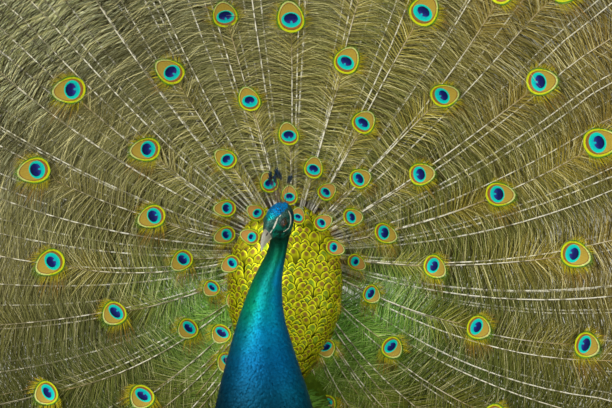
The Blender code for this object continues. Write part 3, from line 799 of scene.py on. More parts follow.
def covert_finish(colours):
    """Wing coverts barred in buff and black."""
    f = Finish("barred coverts", roughness=0.6)
    across, along = f.vane()
    shade, _, _ = f.tint()
    wander = f.noise(60.0, 2.0)
    bars = (along * 15.0 + abs(across) * 2.6 + wander * 7.0 + shade * 6.0).wave().past(0.42, 0.60)
    ground = f.mix(wander, linear(178, 150, 112), linear(206, 184, 148))
    colour = f.mix(bars, ground, linear(30, 26, 24))
    comb = (along * 60.0 - abs(across) * 14.0).wave()
    return f.finished(f.scaled(colour, comb * 0.18 + shade * 0.24 + 0.72), comb, 0.3, 0.0005)


def quill_finish(colours):
    """Rufous flight feathers, duller to the tip, with a pale shaft."""
    f = Finish("rufous quills", roughness=0.5)
    across, along = f.vane()
    shade, _, _ = f.tint()
    comb = (along * 260.0 - abs(across) * 30.0 + f.noise(25.0) * 3.0).wave()
    colour = f.ramp(along, (0.0, 150, 92, 50), (0.6, 168, 104, 56), (0.85, 120, 84, 58), (1.0, 84, 66, 54))
    colour = f.scaled(colour, comb * 0.20 + shade * 0.20 + 0.74)
    colour = f.mix(1.0 - abs(across).past(0.03, 0.07), colour, linear(196, 160, 118))
    return f.finished(colour, comb, 0.35, 0.0006)


def tail_finish(colours):
    """The short stiff tail behind the train: grey-brown, mottled in broken bars."""
    f = Finish("tail feathers", roughness=0.65)
    across, along = f.vane()
    shade, _, _ = f.tint()
    mottle = f.noise(75.0, 3.0)
    bars = (along * 46.0 + mottle * 9.0 + shade * 6.0).wave()
    comb = (along * 300.0 - abs(across) * 40.0).wave()
    colour = f.mix(bars.past(0.45, 0.8) * 0.6, linear(92, 82, 68), linear(138, 124, 100))
    colour = f.scaled(colour, comb * 0.16 + shade * 0.22 + 0.74)
    colour = f.mix(1.0 - abs(across).past(0.03, 0.07), colour, linear(170, 152, 124))
    return f.finished(colour, comb, 0.3, 0.0006)


def scale_finish(colours):
    """Golden scales: copper heart, yellow-green field, bright rim and a thin dark edge at the round free
    end, the dark margin deepened as a painted shadow line between scales; the covered root is darkened as
    painted shade."""
    f = Finish("golden scales", roughness=0.40, metallic=0.40, specular_ior_level=0.1)
    across, along = f.vane()
    shade, dot, _ = f.tint()
    end = (along - SCALE_FULL).atleast(0.0) / (1.005 - SCALE_FULL)
    reach = (across * across + end * end).root()
    grain = f.noise(420.0, 2.0)
    reach = reach + (grain - 0.5) * 0.10
    copper = f.mix(dot, linear(132, 104, 40), linear(188, 134, 84))
    heart = (across * across * 1.1 + (along - 0.74) * (along - 0.74) * 9.0).root() + (grain - 0.5) * 0.2
    colour = f.mix(heart.past(0.25, 0.60 + dot * 0.15), copper, colours.scale_gold)
    colour = f.mix(reach.past(0.55, 0.80), colour, colours.scale_rim)
    # Thin dark edge: the scale's dark margin, deepened as a painted shadow line between the scales.
    colour = f.mix(reach.past(0.88, 0.96), colour, linear(46, 56, 6))
    green = (shade.past(0.55, 0.9) * (1.0 - reach.past(0.5, 0.8))) * 0.6
    colour = f.mix(green, colour, linear(96, 150, 30))
    spot = ((across * across + (along - 0.70) * (along - 0.70) * 5.0)).root()
    colour = f.mix((1.0 - spot.past(0.20, 0.26)) * dot.past(0.6, 0.7), colour, linear(0, 176, 140))
    colour = f.mix((1.0 - spot.past(0.09, 0.13)) * dot.past(0.6, 0.7), colour, linear(6, 26, 60))
    # The root, which the scales below cover, is darkened by up to half: painted shade under the overlap.
    hidden = 1.0 - along.past(0.25, 0.55)
    comb = (along * 60.0 - abs(across) * 24.0).wave()
    return f.finished(f.scaled(colour, shade * 0.30 + comb * 0.05 + 0.78 - hidden * 0.5), comb, 0.12, 0.0004)


def barb_finish(colours):
    """Train barbs: gold by the eye, bronze then olive down the shaft, a pale painted backlight towards the
    bird's upper right, browner towards its left and greener below, the barbs' own hues shifted by place as a
    painted iridescent sheen, with painted glints and painted shade on random barbs. Vane holds the share out
    along the barb and the distance below the eye; the tint's third number tells the front layer from the two
    behind."""
    f = Finish("train barbs", roughness=0.55, metallic=0.2, specular_ior_level=0.1)
    out, below = f.vane()
    shade, single, under = f.tint()
    x, _, z = f.parts(f.place())
    drift = f.noise(4.0, 3.0)
    colour = f.ramp(below, (0.0, 112, 150, 52), (0.022, colours.barb_gold), (0.06, 170, 156, 56),
                    (0.11, 156, 150, 66), (0.24, colours.barb_olive), (0.45, 118, 128, 56),
                    (0.8, 96, 112, 50))
    # Pale towards the bird's upper right: a painted backlight. The browner and greener zones below paint the
    # barbs' iridescent sheen by place.
    backlit_straw = (z * 0.9 - x - 0.42 + (drift - 0.5) * 0.8).past(-0.1, 0.75)
    brown = (x + (z - 0.9) * 0.25 + (drift - 0.5) * 0.7).past(0.05, 0.75)
    green = (0.98 - z - abs(x) * 0.55 + (drift - 0.5) * 0.5).past(0.0, 0.6)
    colour = f.mix(backlit_straw * 0.60, colour, linear(186, 176, 116))
    colour = f.mix(brown * 0.60, colour, linear(150, 112, 64))
    colour = f.mix(green * 0.55, colour, linear(84, 136, 40))
    # Random barbs: a pale painted glint on some, painted shade on others.
    colour = f.mix(single.past(0.80, 0.92) * 0.75, colour, linear(230, 220, 160))
    colour = f.mix((1.0 - single.past(0.12, 0.26)) * 0.65, colour, linear(48, 50, 22))
    airy = ((z - AIRY_UP) - (x + AIRY_ASIDE) * AIRY_SLOPE).past(*AIRY_EDGES)
    # In the airy corner the front barbs are darkened, except a few glints: painted shade of strands against
    # the painted backlight behind.
    colour = f.mix(airy * (1.0 - single.past(0.75, 0.92)) * 0.95, colour, linear(26, 22, 8))
    heart = (x * x + (z - 0.69) * (z - 0.69)).root()
    lush = (1.0 - heart.past(0.12, 0.32)) * (0.72 - z).past(0.0, 0.14)
    colour = f.mix(lush * 0.65, colour, linear(116, 190, 78))
    corner = (0.66 - z).past(0.0, 0.24) * abs(x).past(0.22, 0.42)
    colour = f.mix(corner * 0.62, colour, linear(66, 72, 16))
    colour = f.scaled(colour, (z + x * 0.25).past(0.38, 0.84) * 0.34 + lush * 0.55 + 0.68)
    dull = under.past(0.80, 0.95)
    behind = f.mix(green * (1.0 - dull), linear(62, 50, 20), linear(44, 58, 18))
    # In the airy corner the layer behind turns nearly white: a painted backlight.
    behind = f.mix(airy * (1.0 - dull), behind, linear(250, 252, 200))
    colour = f.mix(under.past(0.4, 0.6) * (airy * 0.2 + 0.75), colour, behind)
    return f.finished(f.scaled(colour, shade * 0.35 + single * 0.35 + out * 0.25 + 0.60))


def shaft_finish(colours):
    """Ivory shafts, browner to the tip, with fine lengthwise streaks."""
    f = Finish("train shafts", roughness=0.35)
    _, along = f.vane()
    shade, _, _ = f.tint()
    streak = f.noise(700.0, 2.0)
    x, _, _ = f.parts(f.place())
    hidden = (f.noise(95.0, 1.0) - x * 0.16).past(0.49, 0.55) * along.past(0.05, 0.25)
    colour = f.ramp(along, (0.0, colours.shaft_ivory), (0.75, 232, 226, 200), (0.95, 170, 146, 92),
                    (1.0, 120, 92, 50))
    colour = f.mix(hidden * 0.80, colour, linear(104, 96, 46))
    return f.finished(f.scaled(colour, streak * 0.3 + shade * 0.15 + 0.80))


def ocellus_finish(colours):
    """The eye of a train feather, worked out from the place in units of the ring's half length: a dark heart
    with two lobes, turquoise disc, bronze, a brown line, a yellow-green ring, green, then gold and olive
    barbs."""
    f = Finish("train eyes", roughness=0.45, metallic=0.25, specular_ior_level=0.15)
    x, y = f.vane()
    shade, small, single = f.tint()
    wide = x / ((1.0 - y.upto(1.0).atleast(-1.0) * EYE_TAPER) * EYE_SHAPE)
    grain = f.noise(300.0, 2.0) - 0.5
    ring = (wide * wide + y * y).root() + grain * 0.05
    low = y + 0.22
    disc = (x * x * 0.72 + low * low).root() + grain * 0.03 + small * 0.08
    high = y + 0.14
    heart = (x * x * 0.62 + high * high).root() + grain * 0.05 + small * 0.10 + (shade - 0.5) * 0.05
    notch = (x * x * 4.0 + (y + 0.44) * (y + 0.44)).root()
    bronze = f.mix(small, colours.eye_bronze, linear(196, 142, 76))
    red = f.mix(shade.past(0.3, 0.9), linear(150, 80, 44), linear(120, 84, 40))
    colour = f.mix((0.1 - y).past(0.0, 0.7) * 0.8, bronze, red)
    colour = f.mix(ring.past(0.80, 0.86), colour, linear(132, 84, 40))
    colour = f.mix(ring.past(0.87, 0.90), colour,
                   f.mix(y.past(0.2, 0.7), colours.eye_lime, linear(206, 212, 126)))
    colour = f.mix(ring.past(0.99, 1.03), colour, linear(84, 132, 32))
    flank = (abs(wide) / ring.atleast(0.2)).past(0.40, 0.80)
    colour = f.mix(ring.past(1.09, 1.18) * (flank * 0.8 + 0.2), colour, linear(190, 176, 18))
    colour = f.mix(ring.past(1.40, 1.85), colour, f.mix(single, linear(190, 142, 48), linear(96, 84, 36)))
    colour = f.mix(1.0 - disc.past(0.47, 0.50), colour, colours.eye_teal)
    colour = f.mix((1.0 - disc.past(0.28, 0.42)) * 0.5, colour, linear(0, 136, 196))
    lobe = f.mix(grain.past(-0.1, 0.1), linear(14, 60, 150), linear(66, 24, 108))
    indigo = f.mix(y.past(-0.40, -0.12) + grain * 0.4, lobe,
                   f.mix(y.past(-0.05, 0.12), colours.eye_indigo, linear(2, 16, 62)))
    colour = f.mix((1.0 - heart.past(0.29, 0.33)) * notch.past(0.12, 0.18), colour, indigo)
    comb = ((abs(x) / (y + 1.7).atleast(0.2)) * 110.0).wave()
    return f.finished(f.scaled(colour, shade * 0.14 + single * 0.25 + comb * 0.08 + 0.80), comb, 0.2, 0.0004)


def eye_finish(colours):
    """A dark pupil in a brown iris with a painted orange-brown glint low in it, under a clear wet gloss.
    Vane's second number is the angle from the eye's axis."""
    f = Finish("peacock eye", roughness=0.12, coat_weight=1.0, coat_roughness=0.03)
    _, angle = f.vane()
    _, _, up, _ = head_masks(f)
    fleck = f.noise(1500.0, 2.0)
    # Orange-brown low in the iris: a painted glint.
    painted_glint = (0.0025 - up).past(0.0, 0.004)
    iris = f.mix(painted_glint, linear(40, 24, 16), linear(140, 72, 26))
    iris = f.scaled(iris, fleck * 0.6 + 0.7)
    colour = f.mix(angle.past(0.235, 0.265), linear(6, 5, 5), iris)
    return f.finished(f.mix(angle.past(0.50, 0.56), colour, linear(30, 22, 18)))


def lid_finish(colours):
    """Bare grey-brown rims of the lids."""
    f = Finish("lid rims", roughness=0.5)
    grain = f.noise(1400.0, 2.0)
    return f.finished(f.mix(grain, linear(34, 36, 32), linear(66, 68, 58)), grain, 0.4, 0.0003)


def bill_finish(colours):
    """Pinkish-grey horn, paler at the tip and edge, dark in the nostril as painted shade of the opening,
    streaked along its length.
    """
    f = Finish("bill horn", roughness=0.38, coat_weight=0.25, coat_roughness=0.25)
    _, along = f.vane()
    _, dark, _ = f.tint()
    forward, _, up, _ = head_masks(f)
    streak = f.noise(420.0, 3.0)
    colour = f.ramp(along, (0.0, 104, 104, 86), (0.3, colours.bill_horn), (0.75, 180, 180, 158),
                    (1.0, 200, 196, 176))
    colour = f.mix(streak.past(0.4, 0.7) * 0.45, colour, linear(112, 108, 92))
    colour = f.mix((-up).past(0.0085, 0.0105) * (1.0 - forward.past(0.026, 0.034)) * 0.7, colour,
                   linear(196, 206, 160))
    # The nostril slit is darkened: painted shade of the opening.
    return f.finished(f.mix(dark.past(0.3, 0.7), colour, linear(38, 32, 30)), streak, 0.25, 0.0004)


def leg_finish(colours):
    """Grey-brown scaly legs: small scales from cells all over, darker in the lines between them."""
    f = Finish("leg scales", roughness=0.55)
    cells = f.node("ShaderNodeTexVoronoi", {"feature": "DISTANCE_TO_EDGE"},
                   {"Vector": f.place(), "Scale": 300.0})
    line = cells.past(0.0, 0.12)
    grain = f.noise(240.0, 3.0)
    colour = f.mix(grain, linear(118, 104, 88), linear(160, 146, 124))
    return f.finished(f.scaled(colour, line * 0.45 + 0.55), line, 0.6, 0.0006)


def claw_finish(colours):
    """Dark horn, paler at the tip."""
    f = Finish("claw horn", roughness=0.4)
    _, along = f.vane()
    streak = f.noise(500.0, 2.0)
    colour = f.ramp(along, (0.0, 70, 60, 52), (0.7, 92, 80, 68), (1.0, 140, 126, 108))
    return f.finished(f.scaled(colour, streak * 0.5 + 0.7), streak, 0.2, 0.0003)


def crest_finish(colours):
    """Bare brownish crest shafts ending in dark teal fans. Vane's second number runs from root to tip."""
    f = Finish("crest feathers", roughness=0.45, metallic=0.15)
    _, along = f.vane()
    shade, _, _ = f.tint()
    colour = f.ramp(along, (0.0, 120, 96, 72), (0.72, 88, 72, 58), (0.80, 4, 34, 38), (0.92, 2, 40, 46),
                    (1.0, 0, 50, 84))
    return f.finished(f.scaled(colour, shade * 0.4 + f.noise(500.0) * 0.3 + 0.6))


def floor_finish(studio):
    """A plain floor, a little uneven in tone."""
    f = Finish("studio floor", roughness=0.85)
    grain = f.noise(3.0, 2.0)
    return f.finished(f.scaled(tuple(studio.floor_colour), grain * 0.04 + 0.98))


# ---- the head's markings ----
def stripe(forward, up, points, width):
    """1 within a line drawn through points in the head's side view, fading at half the width."""
    place = stacked(forward, up)
    nearest = np.full(forward.shape, 2.0)
    for (start, end), wide in zip(zip(points[:-1], points[1:]), width):
        start, step = np.array(start), np.array(end) - np.array(start)
        share = np.clip(((place - start) @ step) / (step @ step), 0, 1)
        away = np.linalg.norm(place - start - share[..., None] * step, axis=-1)
        nearest = np.minimum(nearest, away / (wide / 2))
    return 1 - smooth(0.75, 1.15, nearest)


LORE_STRIPE = ((0.0248, -0.0015), (0.0178, 0.0030), (0.0113, 0.0078), (0.0057, 0.0118), (-0.0020, 0.0128))
LORE_WIDTHS = (0.0016, 0.0022, 0.0018, 0.0010)
CHEEK_CRESCENT = ((-0.0185, 0.0088), (-0.0172, 0.0020), (-0.0140, -0.0040), (-0.0108, -0.0085),
                  (-0.0060, -0.0128), (0.0030, -0.0128))
CHEEK_WIDTHS = (0.0026, 0.0036, 0.0036, 0.0034, 0.0028)


def bare_skin(points):
    """How white the bare facial skin is: the stripe from bill to brow and the crescent behind and below the
    eye."""
    forward, left, up = np.moveaxis(to_head(points), -1, 0)
    marks = np.maximum(stripe(forward, up, LORE_STRIPE, LORE_WIDTHS),
                       stripe(forward, up, CHEEK_CRESCENT, CHEEK_WIDTHS))
    return marks * smooth(FACE_SIDE, FACE_SIDE + 0.002, np.abs(left))


def eye_reach(points):
    """Distance from the eye's middle in the side view, 1 on the lids' edge."""
    forward, left, up = np.moveaxis(to_head(points), -1, 0)
    away = np.hypot((forward - EYE_AT[0]) / LID_HALF[0], (up - EYE_AT[2]) / LID_HALF[1])
    return np.where(np.abs(left) > FACE_SIDE, away, FAR_OFF)


def zone_of(t, a):
    """0 on the blue neck and breast, 0.35 on the dark belly and back, 1 on the ashy down round the tail
    root."""
    under = (1 - np.cos(a)) / 2
    dark = 0.35 * (1 - smooth(4.6, 6.4, t + 1.1 * under))
    return dark + (1 - dark) * (1 - smooth(1.2, 2.4, t))


# ---- pieces ----
def by_station(stations, *columns):
    """Functions of the place along a surface, straight lines between the values given at stations."""
    return [lambda t, column=column: np.interp(t, stations, column) for column in columns]


def unwrapped(start, end, low=0.02, high=0.99):
    """The unwrap of a stretch of skin: share of the way round, and from low to high along it from start to
    end."""
    def place(t, a):
        return stacked(0.01 + 0.98 * np.mod(a / tau, 1.0), low + (high - low) * (t - start) / (end - start))
    return place


def around_eye(points, side):
    """Draws the skin down to the eyeball: inside the lids' edge below it, then a rim, then back to the
    cheek."""
    centre = from_head(EYE_AT * (1, side, 1))
    away = points - centre
    distance = np.linalg.norm(away, axis=-1)
    reach = np.where(to_head(points)[..., 1] * side > FACE_SIDE, eye_reach(points), FAR_OFF)
    rim = EYE_RADIUS + 0.0006 + 0.0006 * np.exp(-(((reach - 1.16) / 0.15) ** 2))
    target = np.where(reach < 0.98, EYE_RADIUS - 0.0015, rim)
    hold = 1 - smooth(1.25, 2.0, reach)
    return centre + away * ((distance + (target - distance) * hold) / distance)[..., None]


def build_skin(colours):
    """One skin for head, neck, trunk, wings' arms and thighs: rings of the body's outline less the coat's
    depth."""
    pile = Pile()
    t = np.concatenate((np.linspace(0, 12.6, 150), np.linspace(12.66, BILL_BASE, 112)))
    a = even_turns(160)
    t_all, a_all = crossed(t, a)
    rings = skin(t_all, a_all)
    for side in (1, -1):
        rings = around_eye(rings, side)
    bare = bare_skin(rings) * (t_all > 14)
    tint = stacked(np.full(t_all.shape, 0.5), zone_of(t_all, a_all), bare, bare * 0)
    vane = stacked(a_all / tau, t_all / BILL_BASE)
    add_loft(pile, rings, (0.78, 0.98), 0.01, vane, tint)
    for side in (1, -1):
        surface = thigh(side)
        t_leg, a_leg = crossed(np.linspace(0.02, 0.995, 40), even_turns(40))
        add_loft(pile, surface(t_leg, a_leg), (0.09, 0.98), (0.80 if side > 0 else 0.90, 0.01),
                 tint=(0.5, 0.6, 0, 0))
    flesh = ["head", "neck_upper", "neck_lower", "trunk", "rump"]
    flesh += [f"{part}_{word}" for part in ("thigh", "wing") for word in ("left", "right")]
    return show(pile.mesh("skin"), skin_finish(colours), flesh)


def in_shield(points):
    """True for points inside the golden mantle."""
    half, front, back = shield_slice(points[:, 2])
    oval = (points[:, 0] / half) ** 2 + ((points[:, 1] - (front + back) / 2) / ((back - front) / 2)) ** 2
    return (oval < 0.75) & (points[:, 2] > SHIELD_FOOT + 0.006)


def in_trunk(points):
    """True inside two ovals that fill the trunk and the rump."""
    trunk = (points - (0.0, 0.01, 0.385)) / (0.100, 0.130, 0.105)
    rump = (points - (0.0, 0.145, 0.560)) / (0.058, 0.060, 0.120)
    return (np.sum(trunk**2, -1) < 1) | (np.sum(rump**2, -1) < 1)


def add_coat(pile, rng, ends, spacing, length, half, vane, rise=0.9, keep=None, stray=0.16, high=0.99):
    """Feathers over a stretch of the body: staggered roots, lying towards the tail root."""
    t, a = staggered(skin, ends, spacing, rng)
    point, _, along, round_it = surface_frame(skin, t, a)
    fits = ~in_shield(point)
    if keep is not None:
        tip = point - unit(along) * length(t)[:, None]
        fits &= keep(t, a, point) & keep(t, a, point * 0.4 + tip * 0.6) & keep(t, a, tip)
    t, a, point, along, round_it = t[fits], a[fits], point[fits], along[fits], round_it[fits]
    lie = -unit(along) + unit(round_it) * rng.normal(0, stray, len(t))[:, None]
    size = rng.uniform(0.86, 1.14, len(t))
    tint = mixed(len(t), rng, zone_of(t, a), 0.0)
    drape(pile, vane, skin, t, a, lie, length(t) * size, half(t) * size,
          coat_depth(t) * rise * rng.uniform(0.8, 1.15, len(t)),
          half(t) * 0.10, tint, unwrapped(*ends, high=high))


def wing_patch(t, a):
    """True on the folded wing."""
    return wing_bulge(t, a) > WING_THICK * 0.10


def clear_of_face(t, a, point):
    """True off the eyes and the bare white skin, and behind the bill."""
    return (eye_reach(point) > 1.22) & (bare_skin(point) < 0.30) & (t < BILL_BASE - 0.5)


def build_head_coat(colours):
    """The smallest feathers: short velvet over the crown, face and throat."""
    pile = Pile()
    sizes = by_station((13, 16, 21), (0.0016, 0.0012, 0.0010), (0.0058, 0.0036, 0.0022),
                       (0.0014, 0.0011, 0.0008))
    ends = (THROAT, BILL_BASE - 0.4)
    add_coat(pile, seeded("head coat"), ends, *sizes, Vane(3, 3, rounded), rise=1.0, keep=clear_of_face)
    return show(pile.mesh("head_feathers"), coat_finish(colours))


def build_neck_coat(colours):
    """Narrow glossy feathers down the neck."""
    pile = Pile()
    sizes = by_station((6.2, 9, 13), (0.0037, 0.0029, 0.0021), (0.0150, 0.0115, 0.0066),
                       (0.0030, 0.0022, 0.0014))
    add_coat(pile, seeded("neck coat"), (6.2, THROAT), *sizes, Vane(3, 3, rounded), rise=0.75)
    return show(pile.mesh("neck_feathers"), coat_finish(colours))


def build_body_coat(colours):
    """Breast, belly, back and rump feathers, larger towards the tail, and the thighs'."""
    pile = Pile()
    rng = seeded("body coat")
    vane = Vane(4, 4, rounded)
    sizes = by_station((0, 3, 6.2), (0.0085, 0.0085, 0.0046), (0.034, 0.032, 0.019), (0.0085, 0.0082, 0.0044))
    add_coat(pile, rng, (0.15, 6.2), *sizes, vane, keep=lambda t, a, point: ~wing_patch(t, a), high=0.74)
    for side in (1, -1):
        surface = thigh(side)
        t, a = staggered(surface, (0.03, 0.99), lambda t: np.interp(t, (0.2, 1), (0.0070, 0.0034)), rng)
        _, _, along, round_it = surface_frame(surface, t, a)
        lie = unit(along) + unit(round_it) * rng.normal(0, 0.15, len(t))[:, None]
        length = np.interp(t, (0.2, 0.8, 1), (0.026, 0.018, 0.011))
        half = np.interp(t, (0.2, 1), (0.0066, 0.0032))
        drape(pile, vane, surface, t, a, lie, length, half, 0.004 * rng.uniform(0.7, 1.1, len(t)),
              half * 0.15,
              mixed(len(t), rng, 0.6, 0.0), unwrapped(0.0, 1.2, 0.76,
                                                      0.86) if side > 0 else unwrapped(0.0, 1.2, 0.88, 0.98))
    return show(pile.mesh("body_feathers"), coat_finish(colours))


def build_plumes(colours):
    """Loose green plumes from the shoulders and back, which hang outwards towards the folded wings."""
    pile = Pile()
    rng = seeded("plumes")
    t, a = staggered(skin, (3.4, 7.2), lambda t: 0.0056, rng, (-radians(104), radians(104)))
    point, _, along, round_it = surface_frame(skin, t, a)
    widest = radians(50) + radians(16) * smooth(5.2, 5.8, t) - radians(14) * smooth(5.8, 7.2, t)
    keep = ~in_shield(point) & (np.abs(a) > radians(14)) & (np.abs(a) < widest)
    t, a, along, round_it = t[keep], a[keep], along[keep], round_it[keep]
    count = len(t)
    side = np.sign(a)
    lie = -unit(along) * 0.8 + unit(round_it) * (side * rng.uniform(0.3, 1.2, count))[:, None]
    length = rng.uniform(0.022, 0.044, count)
    half = rng.uniform(0.0009, 0.0020, count)
    rise = rng.uniform(0.006, 0.019, count)
    tint = mixed(count, rng, rng.uniform(0.1, 0.75, count), 0.0)
    drape(pile, Vane(5, 3, pointed), skin, t, a, lie, length, half, rise, half * 0.1, tint,
          unwrapped(3.0, 7.6))
    return show(pile.mesh("back_plumes"), barb_finish(colours))


def build_down(colours):
    """Loose ashy down round the tail root, where the raised train leaves it bare."""
    pile = Pile()
    rng = seeded("down")
    vane = Vane(4, 3, pointed)
    t, a = staggered(skin, (0.05, 2.1), lambda t: 0.0052, rng)
    point, out, along, round_it = surface_frame(skin, t, a)
    keep = ~in_shield(point)
    t, a, out, along, round_it = t[keep], a[keep], out[keep], along[keep], round_it[keep]
    lie = -unit(along) + unit(round_it) * rng.normal(0, 0.45, len(t))[:, None]
    drape(pile, vane, skin, t, a, lie, rng.uniform(0.018, 0.036, len(t)), rng.uniform(0.0016, 0.0034, len(t)),
          rng.uniform(0.008, 0.017, len(t)), np.zeros(len(t)), mixed(len(t), rng, 1.0,
                                                                     0.0), unwrapped(0.0, 2.2))
    return show(pile.mesh("tail_down"), coat_finish(colours))


def build_coverts(colours):
    """Barred coverts in overlapping rows over the folded wings, small at the shoulder and large behind."""
    pile = Pile()
    rng = seeded("coverts")
    vane = Vane(5, 5, rounded)
    start, end = WING_STATIONS
    t, a = staggered(skin, (start - 0.1, end + 0.05),
                     lambda t: np.interp(t, (start, end), (0.0125, 0.0070)), rng)
    keep = wing_patch(t, a)
    t, a = t[keep], a[keep]
    _, _, along, round_it = surface_frame(skin, t, a)
    down = np.where(np.sin(a) > 0, 1.0, -1.0)
    lie = -unit(along) + unit(round_it) * (0.18 * down + rng.normal(0, 0.08, len(t)))[:, None]
    length = np.interp(t, (start, end), (0.052, 0.022)) * rng.uniform(0.9, 1.1, len(t))
    half = np.interp(t, (start, end), (0.0135, 0.0068))
    drape(pile, vane, skin, t, a, lie, length, half, 0.0095 * rng.uniform(0.85, 1.1, len(t)), half * 0.16,
          mixed(len(t), rng, 0.0), unwrapped(3.0, 7.2), 0.006)
    return show(pile.mesh("wing_coverts"), covert_finish(colours))


def quill_panel(side):
    """The drooped hand of a wing: t runs from the wrist to the tip, a across it."""
    ahead = WING_TIP - WRIST
    across = unit(np.cross(ahead, (1.0, 0.0, 0.0))) * cos(QUILL_ROLL) + np.array((sin(QUILL_ROLL), 0.0, 0.0))
    through = unit(np.cross(across, ahead))

    def surface(t, a):
        t, a = paired(t, a)
        share = -a * side
        swell = 0.55 + 0.45 * np.sin(pi * np.minimum(1.0, 0.25 + 0.6 * np.maximum(t, 0)))
        half = QUILL_HALF * swell * (1 - 0.72 * np.clip(t, 0, 1) ** 4)
        bow = 0.010 * np.sin(pi * np.clip(t, 0, 1))[..., None] * np.array((1.0, 0.0, 0.0))
        point = WRIST + ahead * t[..., None] + bow + across * (half * share)[..., None]
        point = point + through * (0.008 * (1 - share**2))[..., None]
        return point * np.array((side, 1.0, 1.0))

    return surface


def build_flight_feathers(colours):
    """Rufous primaries of the drooped wings, lapped like a closed fan."""
    vane = Vane(9, 5, strap)
    pieces = []
    for side, word in SIDES:
        pile = Pile()
        rng = seeded(f"quills {word}")
        surface = quill_panel(side)
        count = 11
        share = np.linspace(-0.72, 0.72, count)
        t, a = np.full(count, 0.01) + 0.05 * np.abs(share), share * 0.8
        _, _, along, round_it = surface_frame(surface, t, a)
        length = np.linalg.norm(WING_TIP - WRIST) * (0.94 - 0.18 * np.abs(share) ** 1.5)
        rise = 0.0008 + 0.0006 * np.arange(count)
        drape(pile, vane, surface, t, a, along, length, np.full(count, 0.0150), rise, np.full(count, 0.0012),
              mixed(count, rng, 0.0), lambda t, a: stacked(0.08 + 0.84 * (a + 1) / 2, t * 0 + 0.5), 0.05)
        pieces.append(show(pile.mesh(f"primaries_{word}"), quill_finish(colours),
                           [f"flight_feathers_{word}"]))
    return pieces


def build_shield(colours):
    """The golden mantle: a dark under-layer and overlapping scales with round free ends that point up and out
    from the mantle's foot; the lower rows lie over the upper ones' roots."""
    pile = Pile()
    rng = seeded("shield")
    heights = np.linspace(SHIELD_FOOT, SHIELD_TOP, 40)
    z, a = crossed(heights, even_turns(64))
    core = shield(z, a)
    middle = core.mean(axis=1, keepdims=True)
    core = middle + (core - middle) * 0.955
    add_loft(pile, core, (0.02, 0.96), (0.002, 0.02), tint=(0.3, 0, 0, 0))
    vane = Vane(7, 7, scalloped)
    foot, low, span = 0.470, 0.006, 0.305

    def pitch_at(reach):
        """A scale's size, growing away from the mantle's foot."""
        return float(np.interp(reach, (0.02, 0.30), (0.0080, 0.0158)))

    reach, rows = low, []
    while reach < span:
        rows.append(reach)
        reach += 0.60 * pitch_at(reach)
    x_all, z_all, pitch_all = [], [], []
    for k, reach in enumerate(rows):
        pitch = pitch_at(reach)
        count = max(3, int(pi * 1.1 * reach / pitch))
        turn = (np.arange(count) + 0.5 * (k % 2)
                + rng.uniform(-0.20, 0.20, count)) / count * pi * 1.1 - pi * 0.55
        x_all.append(np.sin(turn) * reach)
        z_all.append(foot + np.cos(turn) * reach + rng.uniform(-0.12, 0.12, count) * pitch)
        pitch_all.append(np.full(count, pitch))
    x, z, pitch = np.concatenate(x_all), np.concatenate(z_all), np.concatenate(pitch_all)
    half = shield_slice(z)[0]
    keep = (np.abs(x) < half * 0.995) & (z > SHIELD_FOOT) & (z < SHIELD_TOP - 0.020)
    x, z, pitch, half = x[keep], z[keep], pitch[keep], half[keep]
    a = -np.arcsin(np.clip(x / half, -1, 1))
    lie = stacked(x, np.zeros(len(x)), z - foot + 0.012)
    top = smooth(0.70, 0.75, z)
    for side in (1, -1):
        side_z, side_a = staggered(shield, (0.495, 0.745), lambda t: 0.0105, rng, (1.05, 2.4))
        point = shield(side_z, side_a * side)
        z, a = np.append(z, side_z), np.append(a, side_a * side)
        pitch = np.append(pitch, np.full(len(side_z), 0.0115))
        lie = np.concatenate((lie, point - np.array((0.0, 0.05, foot))))
        top = np.append(top, np.zeros(len(side_z)))
    count = len(z)
    lie = unit(lie) + rng.normal(0, 0.17, (count, 3)) * (1, 0, 1)
    size = rng.uniform(0.84, 1.16, count)
    tint = mixed(count, rng, top * rng.uniform(0.4, 1.0, count), 0.0)
    patch = 0.012

    def unwrap(t, a):
        return stacked(0.03 + 0.94 * (0.5 - a / 6.0), 0.03 + 0.94 * (t - 0.47) / 0.31)

    rise = 0.0036 + 0.08 * pitch + rng.uniform(-0.0003, 0.0003, count)
    drape(pile, vane, shield, z, a, lie, pitch * 1.8 * size, pitch * 0.62 * size, rise, pitch * 0.05, tint,
          unwrap, patch, 1.15)
    return show(pile.mesh("golden_mantle"), scale_finish(colours), ["shield"])


